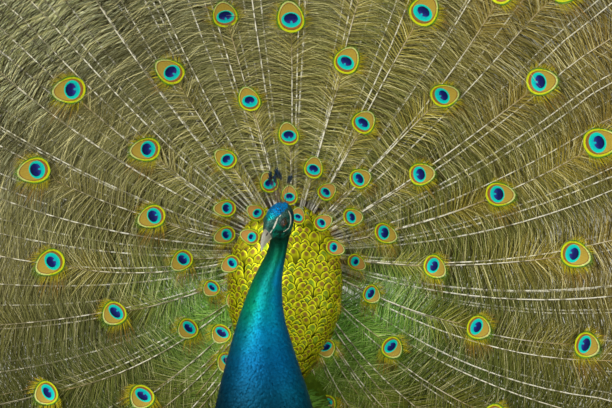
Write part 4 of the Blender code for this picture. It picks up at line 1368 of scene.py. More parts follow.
# ---- the train ----
class Train:
    """Every feather of the train: bearing, reach to the eye's middle, ring half length, depth and kind."""

    def __init__(self, sizes):
        rng = seeded("train")
        bearing, reach, row = [], [], []
        step = radians(sizes.inner_step)
        for k, radius in enumerate(INNER_ROWS):
            turn = radians(13) + step * (np.arange(-7, 8) + 0.5 * (k % 2))
            turn = turn[np.abs(turn) < INNER_SPAN]
            bearing.append(turn - 0.048 * np.sin(turn - radians(163)) + 0.119
                           * np.sin(2 * turn + radians(116)))
            reach.append(radius * (1 - 0.132 * np.cos(turn - radians(10)) + 0.172
                                   * np.cos(2 * turn - radians(100))))
            row.append(np.full(len(turn), k))
        for k, (radius, count) in enumerate(OUTER_ROWS):
            place = (np.arange(count) + 0.25 + 0.5 * (k % 2)) / count * 2 - 1
            bearing.append(place * TRAIN_SPAN * 0.985)
            reach.append(radius * rim_radius(bearing[-1]) / TRAIN_TOP)
            row.append(np.full(count, k + len(INNER_ROWS)))
        low = np.linspace(radians(146), radians(171), 7)
        bearing.append(np.concatenate((low, -low)))
        reach.append(np.tile(np.linspace(0.36, 0.25, 7), 2) * (1 - 0.16 * (np.arange(14) % 2)))
        row.append(np.full(14, LOW_ROW))
        self.bearing, self.reach, self.row = (np.concatenate(v) for v in (bearing, reach, row))
        self.count = len(self.bearing)
        self.fishtail = self.row >= RIM_ROW
        loose = np.where(self.fishtail, 0.012, 0.03)
        self.bearing = self.bearing + rng.normal(0, radians(1.0), self.count)
        self.reach = self.reach * (1 + rng.uniform(-loose, loose) * np.where(self.reach > 0.9, 0.5, 1.0))
        size = np.interp(self.reach, (0.08, 0.13, 0.21, 0.35, 0.50), (0.0155, 0.0180, 0.0215, 0.0245, 0.0265))
        self.ring = size * rng.uniform(0.94, 1.06, self.count)
        self.squash = 1 - 0.26 * smooth(radians(85), radians(125), np.abs(self.bearing))
        layer = np.where(self.row == LOW_ROW, 3, self.row)
        self.depth = -0.014 + 0.0016 * layer + rng.uniform(-0.001, 0.001, self.count)
        self.bow = rng.normal(0, radians(1.2), self.count)
        self.shade = rng.random(self.count)

    def at(self, feather, radius, depth=0.0):
        """Points on feathers' shafts, which bow a little sideways between heart and eye."""
        share = np.clip(radius / self.reach[feather], 0, 1.1)
        bearing = self.bearing[feather] + self.bow[feather] * 4 * share * (1 - share)
        return dish(radius, bearing, self.depth[feather] + depth)

    def frame(self, feather, radius):
        """Point, outward along the shaft, sideways, and forward out of the dish, by small steps."""
        step = 0.004
        along = unit(self.at(feather, radius + step) - self.at(feather, radius - step))
        bearing = self.bearing[feather]
        sideways = unit(dish(radius, bearing + step) - dish(radius, bearing - step))
        sideways = unit(sideways - along * np.sum(sideways * along, -1, keepdims=True))
        return self.at(feather, radius), along, sideways, np.cross(sideways, along)

    def sectors(self, count):
        """Feathers in groups of neighbours, for pieces of a workable size."""
        order = np.argsort(self.bearing)
        return np.array_split(order, count)


BARB_STEPS = np.array((0.0, 0.36, 0.72, 1.0))
BARB_TAPER = np.array((1.0, 0.92, 0.62))
BARB_PATTERN = Pattern([(0, 2, 3, 1), (2, 4, 5, 3)], [(4, 6, 5)])


def add_barbs(pile, root, way, bend, out, width, twist, bake, vane, tint):
    """Ribbons: root + way q + bend q^2 at four places q, with a tapering width across the way, twisted about
    it. bake and vane give the unwrap and vane place from q and the point's side, -1 or 1, across the
    ribbon."""
    q = BARB_STEPS[None, :, None]
    line = root[:, None, :] + way[:, None, :] * q + bend[:, None, :] * q**2
    across = unit(np.cross(out, way))
    across = across * np.cos(twist)[:, None] + out * np.sin(twist)[:, None]
    offset = across[:, None, :] * (width[:, None] * BARB_TAPER / 2)[..., None]
    points = np.empty((len(root), 7, 3))
    points[:, 0:6:2] = line[:, :3] - offset
    points[:, 1:6:2] = line[:, :3] + offset
    points[:, 6] = line[:, 3]
    steps = np.append(np.repeat(BARB_STEPS[:3], 2), 1.0)
    sides = np.array((-1, 1, -1, 1, -1, 1, 0))
    pile.add(points, BARB_PATTERN, bake(steps, sides), vane(steps, sides), tint)


def marks_down(gap, spread):
    """Distances below the eye for barbs set a gap apart, which widens by spread down the shaft."""
    fine = np.linspace(0, 1.15, 600)
    gaps = gap * (1 + spread * smooth(0.10, 0.50, fine))
    place = np.concatenate(([0], np.cumsum(np.diff(fine) / gaps[1:])))
    return np.interp(np.arange(0, place[-1]), place, fine) - 0.008


def lay_vanes(pile, train, group, sizes, rng, under):
    """Barbs down both sides of a group of shafts. The fine ones thin out over the inner fan, where the white
    shafts show, and in the airy corner. The under ones are broader, behind them: dark, but painted pale in
    the airy corner as a painted backlight, where a third, dull layer closes the back."""
    below = marks_down(sizes.under_gap, 0.0) if under else marks_down(sizes.barb_gap, 0.35)
    for side in (-1, 1):
        feather, down = (v.ravel() for v in crossed(group, below))
        column = 2 * np.repeat(np.arange(len(group)), len(below)) + (side + 1) // 2
        low_end = 0.085 + 0.06 * smooth(0.3, 0.9, train.reach[feather])
        start = np.where(train.fishtail[feather], -0.008, train.ring[feather] * 0.5)
        down = down + rng.uniform(-0.5, 0.5, len(down)) * (sizes.under_gap if under else sizes.barb_gap)
        radius = train.reach[feather] - down
        full = smooth(0.22, 0.36, radius) + 1 - smooth(0.05, 0.11, down)
        low = smooth(radians(112), radians(138), np.abs(train.bearing[feather]))
        share = np.maximum(smooth(0.16, 0.30, radius), low) if under else np.maximum(0.58 + 0.3 * low, full)
        keep = (radius > low_end) & (down > start) & (rng.random(len(down)) < share)
        feather, down, column, radius = feather[keep], down[keep], column[keep], radius[keep]
        root, along, sideways, out = train.frame(feather, radius)
        clear = ~in_trunk(root)
        airy = smooth(*AIRY_EDGES, (root[:, 2] - AIRY_UP) - (root[:, 0] + AIRY_ASIDE) * AIRY_SLOPE)
        far = smooth(0.62, 0.95, radius)
        clear &= rng.random(len(root)) > far * 0.40 + airy * (0.0 if under else 0.36)
        feather, down, column, radius = feather[clear], down[clear], column[clear], radius[clear]
        root, along, sideways, out = root[clear], along[clear], sideways[clear], out[clear]
        airy, far = airy[clear], far[clear]
        count = len(down)
        size = np.clip(train.ring[feather] / 0.028, 0.4, 1.1) * np.clip(radius / 0.20, 0.3, 1)
        length = np.interp(down, (0, 0.03, 0.12, 0.32, 0.65, 1.1), (0.040, 0.050, 0.068, 0.066, 0.050, 0.032))
        length = length * size * rng.uniform(0.8, 1.15, count) * (1 + 0.75 * far * smooth(0.02, 0.10, down))
        open_angle = radians(38) + radians(38) * smooth(0.02, 0.14, down) + rng.normal(0, radians(6), count)
        way = sideways * (side * np.sin(open_angle))[:, None] + along * np.cos(open_angle)[:, None]
        lean = rng.normal(0.0, 0.06, count) - 0.10 * (1 - smooth(0.02, 0.07, down)) - 0.05 * under
        way = (way + out * lean[:, None]) * length[:, None]
        sag = length * rng.uniform(0.02, 0.16, count)
        back = length * rng.normal(-0.06, 0.06, count)
        swerve = length * rng.normal(0, 0.06, count)
        bend = along * back[:, None] + DOWN * sag[:, None] + out * swerve[:, None]
        width = (sizes.under_width if under else sizes.barb_width) * rng.uniform(0.75, 1.2, count)
        width = width * (1 + 0.5 * far) * (1 + (0.65 if under else -0.10) * airy)
        high = np.clip(down, 0, 1.15) / 1.2 + 0.01
        strip = np.full(count, 0.63 if under else 0.04)
        reach = 0.16 if under else 0.56
        columns = 2 * len(group)
        # The second tint number picks random barbs for painted glints and painted shade in the finish.
        tint = mixed(count, rng, rng.random(count), UNDER_MARK * under)
        tint[:, 0, 0] = train.shade[feather]
        root = root - out * (under * (0.003 + 0.012 * airy))[:, None]
        parts = [root, way, bend, out, width, high, strip, column, tint]
        if under:
            dull = np.flatnonzero(rng.random(count) < airy * 0.75)
            rear = [part[dull] for part in parts]
            rear[0] = rear[0] - rear[3] * 0.006
            rear[4] = rear[4] * 1.5
            rear[6] = rear[6] + 0.19
            rear[8] = rear[8] * (1, 1, 0, 1) + (0, 0, REAR_MARK, 0)
            parts = [np.concatenate(pair) for pair in zip(parts, rear)]
        root, way, bend, out, width, high, strip, column, tint = parts
        count = len(root)

        def bake(q, across):
            u = (column[:, None] + strip[:, None] + reach * q) / columns
            return stacked(u, high[:, None] + across * 0.0005)

        def vane(q, across):
            return stacked(np.broadcast_to(q, (count, 7)), np.broadcast_to(high[:, None], (count, 7)))

        add_barbs(pile, root, way, bend, out, width, rng.normal(0, 0.45, count), bake, vane, tint)


def build_vanes(train, sizes, colours):
    """The loose vanes down every shaft: barbs closely set by the eye and wider apart below, each a curved
    ribbon that leaves the shaft at an angle, bends back and sags."""
    material = barb_finish(colours)
    pieces = []
    for number, group in enumerate(train.sectors(sizes.vane_pieces), start=1):
        rng = seeded(f"vanes {number}")
        pile = Pile()
        lay_vanes(pile, train, group, sizes, rng, False)
        lay_vanes(pile, train, group, sizes, rng, True)
        replaced = [f"train_{k:02d}" for k in range(1, 11)] if number == 1 else ()
        pieces.append(show(pile.mesh(f"train_vanes_{number}"), material, replaced))
    return pieces


def build_shafts(train, sizes, colours):
    """Tapering three-sided shafts from the train's heart to inside each eye."""
    rings = 18
    share = np.linspace(0, 1, rings)
    feather = np.repeat(np.arange(train.count), rings)
    end = train.reach - np.where(train.fishtail, 0.0, train.ring * 0.8)
    radius = 0.030 + (end[:, None] - 0.030) * share
    root, _, sideways, out = train.frame(feather, radius.ravel())
    root = root + out * (0.0016 - 0.0022 * np.tile(share, train.count) ** 6)[:, None]
    width = (sizes.shaft_width / 2) * (1 - 0.58 * share)
    width = np.tile(width, train.count)
    turn = even_turns(3) + pi / 6
    ring = (root[:, None, :] + sideways[:, None, :] * (width[:, None] * np.cos(turn))[..., None]
            + out[:, None, :] * (width[:, None] * np.sin(turn))[..., None])
    ring = ring.reshape(train.count, rings * 3, 3)
    ends = np.stack((ring[:, :3].mean(1), ring[:, -3:].mean(1)), 1)
    points = np.concatenate((ring, ends), axis=1)
    k = np.arange(3)
    pattern, seam = closed_tube(rings, 3, 0.0)
    along_it = np.append(np.repeat(share, 3), (0.0, 1.0))
    around = np.append(np.tile(k / 3, rings), (0.5, 0.5))
    column = np.arange(train.count)[:, None]
    bake = stacked((column + 0.15 + 0.7 * around) / train.count, 0.01 + 0.98 * along_it)
    vane = stacked(around, along_it)[None]
    pile = Pile()
    tint = stacked(train.shade, train.shade * 0, train.shade * 0, train.shade * 0)[:, None, :]
    pile.add(points, pattern, bake, vane, tint, (0.7 / train.count, 1.0), seam)
    return show(pile.mesh("train_shafts"), shaft_finish(colours))


def mantle_lift(points):
    """How far forward points must come to stand clear of the golden mantle: its front's depth before them,
    fading to nothing outside its outline."""
    half, front, back = shield_slice(points[:, 2])
    across = np.clip(1 - ((np.abs(points[:, 0]) - 0.012) / half) ** 2, 0, 1)
    face = (front + back) / 2 - (back - front) / 2 * np.sqrt(across)
    near = (across > 0) & (points[:, 2] < SHIELD_TOP + 0.012)
    return np.where(near, np.clip(points[:, 1] - face + 0.012, 0, 0.06), 0.0)


def eye_width(flat_y):
    """Half width of a train eye's rings at a place along them, in half lengths: it falls towards the tip."""
    return EYE_SHAPE * (1 - EYE_TAPER * np.clip(flat_y, -1, 1))


def eye_disc():
    """The ringed end of a feather, in units of the ring's half length: a middle point and four oval rings."""
    turns = 24
    turn = even_turns(turns)
    reach = np.array((0.30, 0.58, 0.84,
                      1.04))[:, None] + np.array((0, 0, 0, 0.08))[:, None] * np.sin(turn) ** 4
    y = np.append(0.0, (reach * np.cos(turn)).ravel())
    x = np.append(0.0, (reach * np.sin(turn)).ravel()) * eye_width(y)
    k = np.arange(turns)
    middle = stacked(np.zeros(turns, int), 1 + (k + 1) % turns, 1 + k)
    return x, y, Pattern(grid_faces(len(reach), turns, wrap=True)[:, ::-1] + 1, middle)


def build_eyes_of_train(train, sizes, colours):
    """The eyes: a shallow oval plate of close barbs on each shaft's end, and a fringe of loose barbs that fan
    from its edge towards the tip and hang from its lower sides."""
    material = ocellus_finish(colours)
    x, y, pattern = eye_disc()
    pieces = []
    eyed = np.flatnonzero(~train.fishtail)
    order = eyed[np.argsort(train.reach[eyed], kind="stable")]
    for number, group in enumerate(np.array_split(order, sizes.eye_pieces), start=1):
        rng = seeded(f"eyes {number}")
        pile = Pile()
        cells = int(np.ceil(np.sqrt(len(group))))
        index = np.arange(len(group))
        cell = stacked(index % cells, index // cells)
        root, along, sideways, out = train.frame(group, train.reach[group])
        lean, roll = rng.normal(0, 0.08, len(group)), rng.normal(0, 0.10, len(group))
        droop = (0.50 + 0.30 * smooth(0.0, 0.2, -root[:, 0])) * np.abs(np.sin(train.bearing[group]))
        along = unit(along + out * lean[:, None] + sideways * rng.normal(0, 0.07, len(group))[:, None] + DOWN
                     * droop[:, None])
        sideways = unit(np.cross(along, out) + out * roll[:, None])
        out = np.cross(sideways, along)
        half, squash = train.ring[group], train.squash[group]
        small = 1 - smooth(0.014, 0.020, half)
        around = half[:, None, None] * np.stack((sideways * 0, sideways * 0.7, -sideways * 0.7, along * 0.9,
                                                 -along * 0.9), 1)
        lift = mantle_lift((root[:, None, :] + around).reshape(-1, 3)).reshape(len(group), -1)
        root = root - np.array((0.0, 1.0, 0.0)) * lift.max(axis=1)[:, None]

        def on_plate(flat_x, flat_y, lift, member):
            """Points over the plates of member feathers, from places in units of the half length."""
            scale = half[member][:, None, None]
            cup = 0.06 * (flat_x**2 * 2 + flat_y**2)[..., None]
            base = root[member][:, None, :] + out[member][:, None, :] * (lift + cup * scale)
            aside = flat_x[..., None] * scale
            outward = flat_y[..., None] * scale * squash[member][:, None, None]
            return base + sideways[member][:, None, :] * aside + along[member][:, None, :] * outward

        def unwrap(flat_x, flat_y, member):
            place = stacked(flat_x, flat_y) / 4.8 + 0.5
            return (cell[member][:, None, :] + np.clip(place, 0.02, 0.98)) / cells

        edge = 1 + (np.hypot(x / eye_width(y), y) > 1.0) * rng.uniform(-0.05, 0.04, (len(group), len(x)))
        flat_x, flat_y = x * edge, y * edge
        tint = stacked(train.shade[group], small, np.full(len(group), 0.5), small * 0)[:, None, :]
        pile.add(on_plate(flat_x, flat_y, EYE_LIFT, index), pattern, unwrap(flat_x, flat_y, index),
                 stacked(flat_x, flat_y), tint)

        count = sizes.fringe_barbs
        member = np.repeat(index, count)
        turn = np.tile(np.linspace(-1, 1, count),
                       len(group)) * radians(150) + rng.normal(0, 0.03, len(member))
        heading = turn * (0.50 + 0.16 * np.abs(turn) / pi) + rng.normal(0, 0.06, len(member))
        flank = smooth(radians(25), radians(70),
                       np.abs(turn)) * (1 - smooth(radians(115), radians(150), np.abs(turn)))
        fall = -(sideways[member][:, 2] * np.sin(heading) + along[member][:, 2] * np.cos(heading))
        reach = (0.34 + 0.62 * flank) * rng.uniform(0.7, 1.1, len(member)) * (1 + 0.9 * np.clip(fall, 0, 1))
        start_y = 0.90 * np.cos(turn)
        start_x = eye_width(start_y) * 0.90 * np.sin(turn)
        way_x, way_y = np.sin(heading) * reach, np.cos(heading) * reach
        q = BARB_STEPS
        line_x, line_y = start_x[:, None] + way_x[:, None] * q, start_y[:, None] + way_y[:, None] * q
        scale = half[member][:, None]
        base = on_plate(start_x[:, None], start_y[:, None], EYE_LIFT + 0.0003, member)[:, 0]
        way = (sideways[member] * way_x[:, None] + along[member] * way_y[:, None]) * scale
        way = way + out[member] * (rng.normal(0.0, 0.10, len(member))[:, None] * scale)
        sag = rng.uniform(0.02, 0.12, len(member)) + 0.10 * flank
        bend = DOWN * sag[:, None] * scale
        column = np.append(np.repeat(np.arange(3), 2), 3)

        def bake(steps, sides):
            return unwrap(line_x[:, column], line_y[:, column] + sides * 0.02, member)

        def vane_of(steps, sides):
            return stacked(line_x[:, column], line_y[:, column])

        tint = stacked(train.shade[group][member], small[member], rng.random(len(member)),
                       small[member] * 0)[:, None, :]
        slimmer = np.clip(scale[:, 0] / 0.026, 0.45, 1)
        width = sizes.barb_width * 1.05 * rng.uniform(0.6, 1.0, len(member)) * slimmer
        add_barbs(pile, base, way, bend, out[member], width, rng.normal(0, 0.35, len(member)), bake, vane_of,
                  tint)
        pieces.append(show(pile.mesh(f"train_eyes_{number}"), material))
    return pieces


def tail_plane(t, a):
    """The short tail's flat leaning plane: t up it from its heart and a sideways, both in metres."""
    t, a = paired(t, a)
    return TAIL_AT + stacked(a, -TAIL_LEAN * t, t)


def build_tail(colours):
    """Twenty stiff tail feathers, lapped outwards from the middle."""
    pile = Pile()
    rng = seeded("tail")
    count = 20
    bearing = np.linspace(-TAIL_SPAN, TAIL_SPAN, count) * 0.965
    lie = stacked(np.sin(bearing), -TAIL_LEAN * np.cos(bearing), np.cos(bearing))
    length = (TAIL_OUTER - 0.034) * (1 - 0.05 * (bearing / TAIL_SPAN) ** 2) * rng.uniform(0.985, 1.0, count)
    rise = 0.0006 + 0.0006 * np.abs(np.arange(count) - (count - 1) / 2)
    drape(pile, Vane(12, 5, strap), tail_plane, 0.03 * np.cos(bearing), 0.03 * np.sin(bearing), lie, length,
          np.full(count, 0.0310), rise, np.full(count, 0.0018), mixed(count, rng, 0.0),
          lambda t, a: stacked(0.5 + 15 * a, 0.1 + 15 * t), 0.046)
    return show(pile.mesh("tail_feathers"), tail_finish(colours), ["tail"])


def build_eyes(colours):
    """Eyeballs with a slight corneal swell: rings at growing angles from each eye's axis."""
    pieces = []
    for side, word in SIDES:
        pile = Pile()
        axis = unit(np.array((0.16, side, 0.02)) @ HEAD_AXES)
        first = unit(np.cross(axis, (0.1, 0.2, 1.0)))
        second = np.cross(axis, first)
        angle, around = crossed(np.linspace(0.03, pi - 0.03, 40), even_turns(48))
        radius = (EYE_RADIUS + 0.0003 * np.exp(-((angle / 0.45) ** 2)))[..., None]
        rim = first * np.cos(around)[..., None] + second * np.sin(around)[..., None]
        rings = from_head(EYE_AT * (1, side, 1)) + radius * (axis * np.cos(angle)[..., None] + rim
                                                             * np.sin(angle)[..., None])
        add_loft(pile, rings, (0.98, 0.98 / pi), 0.01, stacked(around / tau, angle))
        pieces.append(show(pile.mesh(f"eyeball_{word}"), eye_finish(colours), [f"eye_{word}"]))
    return pieces


def build_lids(colours):
    """Rolled rims round the eyes' openings: a thin tube along an oval laid on the eyeball."""
    pile = Pile()
    for side in (1, -1):
        turn, around = crossed(even_turns(64), even_turns(8))
        radius = 0.00055 + 0.00025 * np.maximum(0, np.sin(turn))
        pinch = 1 - 0.10 * np.abs(np.sin(turn)) ** 3
        forward = LID_HALF[0] * 1.03 * np.cos(turn)
        up = LID_HALF[1] * 1.03 * np.sin(turn) * pinch
        ball = EYE_RADIUS + 0.0006
        reach = ball + radius * np.cos(around)
        flat = np.hypot(forward, up)
        wide = (flat + radius * np.sin(around)) / flat
        forward, up = forward * wide, up * wide
        left = np.sqrt(np.maximum(reach**2 - forward**2 - up**2, 1e-8))
        local = stacked(forward + EYE_AT[0], side * (left + EYE_AT[1]), up + EYE_AT[2])
        rows, columns = turn.shape
        k, c = crossed(np.arange(rows), np.arange(columns))
        after, beyond = (k + 1) % rows, (c + 1) % columns
        faces = stacked(k * columns + c, after * columns + c, after * columns + beyond,
                        k * columns + beyond).reshape(-1, 4)
        if side < 0:
            faces = faces[:, ::-1]
        vane = stacked(turn / tau, around / tau).reshape(1, -1, 2)
        seam = (faces // columns == 0) & (np.max(faces, axis=1, keepdims=True) >= (rows - 1) * columns)
        bake = vane * (0.44, 0.9) + (0.03 if side > 0 else 0.52, 0.05)
        pile.add(from_head(local).reshape(1, -1, 3), Pattern(faces), bake, vane, np.array((0.5, 0, 0, 0)),
                 (0.44, 1.0), seam.ravel())
    return show(pile.mesh("lids"), lid_finish(colours))


def bill_rings(rows, crown):
    """A half of the bill: an arch over (crown > 0) or under a flat cutting edge, along the head's forward
    line."""
    t = np.linspace(0, len(rows) - 1, 44)
    forward, peak, edge, half = np.moveaxis(spline(rows, t), -1, 0)
    if crown < 0:
        peak, edge = edge, peak
    a = -np.arange(40) * tau / 40
    rise = np.sin(a) * crown
    arch = np.where(rise > 0, np.abs(rise) ** 0.85, -0.06 * np.abs(rise))
    up = edge[:, None] + (peak - edge)[:, None] * arch
    left = half[:, None] * np.cos(a) * (1 - 0.10 * np.maximum(rise, 0) ** 2)
    return stacked(np.broadcast_to(forward[:, None], up.shape), left, up)


def build_bill(colours):
    """Both halves of the bill, with slit nostrils pressed into the upper one."""
    pieces = []
    for word, rows, crown in (("upper", UPPER_BILL, 1), ("lower", LOWER_BILL, -1)):
        pile = Pile()
        local = bill_rings(rows, crown)
        forward, left, up = np.moveaxis(local, -1, 0)
        slit = np.exp(-(((forward - 0.0295) / 0.0030) ** 2)
                      - (((up + 0.0012 + (forward - 0.0295) * 0.3) / 0.0011) ** 2)) * (crown > 0)
        local[..., 1] = left * (1 - 0.16 * slit)
        vane = stacked(np.arange(40) / 40, np.linspace(0, 1, 44)[:, None])
        # The second tint number marks the nostril slit for its painted shade.
        tint = stacked(slit * 0 + 0.5, slit * 1.6, slit * 0, slit * 0)
        add_loft(pile, from_head(local), 0.96, 0.02, vane, tint)
        pieces.append(show(pile.mesh(f"bill_{word}_horn"), bill_finish(colours), [f"bill_{word}"]))
    return pieces


def build_crest(colours):
    """Bare shafts fanned in the head's middle plane, each ending in a small fan of barbs."""
    pile = Pile()
    rng = seeded("crest")
    share = np.append(np.linspace(-0.60, 0.06, 14), (0.48, 0.74, 0.98))
    count, rings = len(share), 7
    share = share + rng.normal(0, 0.03, count)
    angle = CREST_LEAN + CREST_SPREAD * share
    side = rng.normal(0, 0.05, count)
    length = CREST_LENGTH * np.where(share > 0.3, 0.70, 0.93) * rng.uniform(0.90, 1.0, count)
    heading = stacked(-np.sin(angle), side, np.cos(angle))
    spot = CREST_ROOT + stacked(-0.006 * share, rng.normal(0, 0.0018, count), 0 * share)
    spot[:, 2] -= 0.004 + 0.10 * np.maximum(0, -spot[:, 0] - 0.024)
    q = np.linspace(0, 1, rings)
    line = spot[:, None, :] + heading[:, None, :] * (length[:, None] * q)[..., None]
    line[..., 0] -= 0.05 * length[:, None] * q**2 * (1 + share[:, None])
    across = np.array((0.0, 1.0, 0.0))
    turn = even_turns(3)
    width = 0.00042 * (1 - 0.45 * q)
    broad = np.cross(heading, across)
    ring = (line[:, :, None, :] + across * (width[:, None] * np.cos(turn))[None, :, :, None]
            + broad[:, None, None, :] * (width[:, None] * np.sin(turn))[None, :, :, None])
    points = np.concatenate((from_head(ring.reshape(count, -1, 3)), from_head(line[:, -1:, :])), axis=1)
    k = np.arange(3)
    cap = stacked(np.full(3, rings * 3), (rings - 1) * 3 + (k + 1) % 3, (rings - 1) * 3 + k)
    vane = stacked(np.append(np.tile(k / 3, rings), 0.5), np.append(np.repeat(q, 3), 1.0) * 0.8)[None]
    cell = (np.arange(count)[:, None] + 0.5) / count
    bake = stacked(cell + 0.2 / count * (vane[..., 0] - 0.5), vane[..., 1] * 0.9 + 0.02)
    pile.add(points, Pattern(grid_faces(rings, 3, wrap=True)[:, ::-1], cap[:, ::-1]), bake, vane,
             mixed(count, rng, 0.0))
    barbs = 28
    member = np.repeat(np.arange(count), barbs)
    place = np.tile(np.linspace(0, 1, barbs // 2).repeat(2), count)
    flip = np.tile(np.tile((-1.0, 1.0), barbs // 2), count)
    along = heading[member]
    sideways = np.cross(along, across) * 0.94 + across * 0.3
    base = line[:, -1][member] - along * (0.0075 * (1 - place) * rng.uniform(0.9, 1.1, len(member)))[:, None]
    spread = radians(14) + radians(34) * (1 - place)
    reach = 0.0076 * (0.45 + 0.55 * place) * rng.uniform(0.8, 1.1, len(member))
    way = (along * np.cos(spread)[:, None] + sideways * (flip * np.sin(spread))[:, None]) * reach[:, None]
    out = np.cross(sideways, along)
    width = np.full(len(member), 0.0008)

    def bake_of(steps, sides):
        u = cell[member] + (flip[:, None] * 0.3 * steps) / count
        return stacked(u, 0.90 + 0.08 * place[:, None] + 0.002 * sides)

    def vane_of(steps, sides):
        return stacked(flip[:, None] * steps, 0.84 + 0.16 * place[:, None])

    turned = [v @ HEAD_AXES for v in (way, way * 0, out)]
    add_barbs(pile, from_head(base), turned[0], turned[1], turned[2], width, rng.normal(0, 0.6, len(member)),
              bake_of, vane_of, mixed(len(member), rng, 0.0))
    return show(pile.mesh("crest_fan"), crest_finish(colours), ["crest"])


def toe_line(length, bearing, side, radius, steps=26):
    """A toe's line on the floor from under the shank to the claw."""
    root = FOOT_AT * (side, 1, 1)
    heights = (root[2], radius * 1.05, radius * 0.85, radius * 0.80, radius * 0.58)
    ahead = np.array((sin(bearing) * side, -cos(bearing), 0.0))
    rows = [(*(root[:2] + ahead[:2] * length * share), height) for share, height in zip(TOE_SHARES, heights)]
    return spline(rows, np.linspace(0, len(rows) - 1, steps))


def build_legs(colours):
    """Scaly shanks and toes: the shank's front plates are ridges of its radius, the toes swell at each
    joint."""
    pieces = []
    for side, word in SIDES:
        pile = Pile()
        hock, foot = HOCK * (side, 1, 1), FOOT_AT * (side, 1, 1)
        share = np.linspace(SHANK_RINGS[0][0], 1.0, 90)
        radius = np.interp(share, *np.array(SHANK_RINGS).T)
        ridge = 1 + 0.05 * np.abs(np.sin(share * pi * 21))
        rings = tube_grid(hock + (foot - hock) * share[:, None], radius * ridge, 24, floor=0.0005)
        add_loft(pile, rings, (0.30, 0.96), 0.02)
        for k, (_, length, bearing, width) in enumerate(TOES):
            line = toe_line(length, bearing, side, width)
            q = np.linspace(0, 1, len(line))
            ripple = 0.03 * np.abs(np.sin(q * pi * 12))
            swell = np.interp(q, TOE_SHARES, TOE_WIDTHS) * (1 + 0.07 * np.cos(q * tau * 3.0)) + ripple
            rings = tube_grid(line, width * swell * 0.97, 20, floor=0.0002)
            add_loft(pile, rings, (0.14, 0.96), (0.36 + 0.16 * k, 0.02))
        pad, turn = crossed(np.linspace(0.05, pi - 0.05, 14), even_turns(24))
        ball = stacked(np.sin(pad) * np.cos(turn), np.sin(pad) * np.sin(turn), -np.cos(pad)) * 0.0108
        ball = ball * (1, 1, 0.85) + (foot[0], foot[1], 0.0088)
        ball[..., 2] = np.maximum(ball[..., 2], 0.0002)
        add_loft(pile, ball, (0.02, 0.96), (0.33, 0.02))
        pieces.append(show(pile.mesh(f"leg_{word}"), leg_finish(colours),
                           [f"shank_{word}", f"foot_{word}"]))
    return pieces


def build_claws(colours):
    """Curved claws at the toes' ends and a spur on each shank: tubes that thin to a point."""
    pile = Pile()
    replaced = []
    for side, word in SIDES:
        for k, (toe, length, bearing, width) in enumerate(TOES):
            line = toe_line(length, bearing, side, width)
            ahead = unit(line[-1] - line[-2]) * (1, 1, 0)
            start = line[-1] - ahead * 0.002
            q = np.linspace(0, 1, 16)
            path = start + ahead * ((CLAW_LENGTH + 0.002) * q)[:, None]
            path[:, 2] = np.interp(q, (0, 0.4, 0.75, 1.0),
                                   (start[2], start[2] * 1.0, start[2] * 0.62, 0.0011))
            radii = width * 0.66 * 0.94 * np.interp(q, (0, 0.4, 0.8, 1), (1.0, 0.74, 0.38, 0.10))
            place = (0.02 + 0.12 * k + (0.5 if side < 0 else 0.0), 0.02)
            add_loft(pile, tube_grid(path, radii, 14, floor=0.0003), (0.10, 0.96), place)
            replaced.append(f"claw_{toe}_{word}")
        hock, foot = HOCK * (side, 1, 1), FOOT_AT * (side, 1, 1)
        share = SHANK_RINGS[3][0] + 0.75 * (SHANK_RINGS[4][0] - SHANK_RINGS[3][0])
        ahead = unit(np.array((-0.45 * side, 0.86, 0.12)))
        q = np.linspace(0, 1, 16)
        path = hock + (foot - hock) * share + ahead * (0.002 + (0.006 + SPUR_LENGTH) * q)[:, None]
        path[:, 2] += 0.0042 * q**2
        radii = 0.0046 * np.interp(q, (0, 0.3, 0.7, 1), (1.0, 0.87, 0.52, 0.14))
        place = (0.50 * (side < 0) + 0.49, 0.02)
        add_loft(pile, tube_grid(path, radii, 14), (0.008, 0.96), place)
        replaced.append(f"spur_{word}")
    return show(pile.mesh("claws"), claw_finish(colours), replaced)


# ---- the studio ----
def view_axes(studio):
    """Towards the camera, right and up of the view, from its azimuth and elevation."""
    azimuth, elevation = studio.azimuth, studio.elevation
    towards = np.array((sin(azimuth) * cos(elevation), -cos(azimuth) * cos(elevation), sin(elevation)))
    right = np.array((cos(azimuth), sin(azimuth), 0.0))
    return towards, right, np.cross(right, -towards)


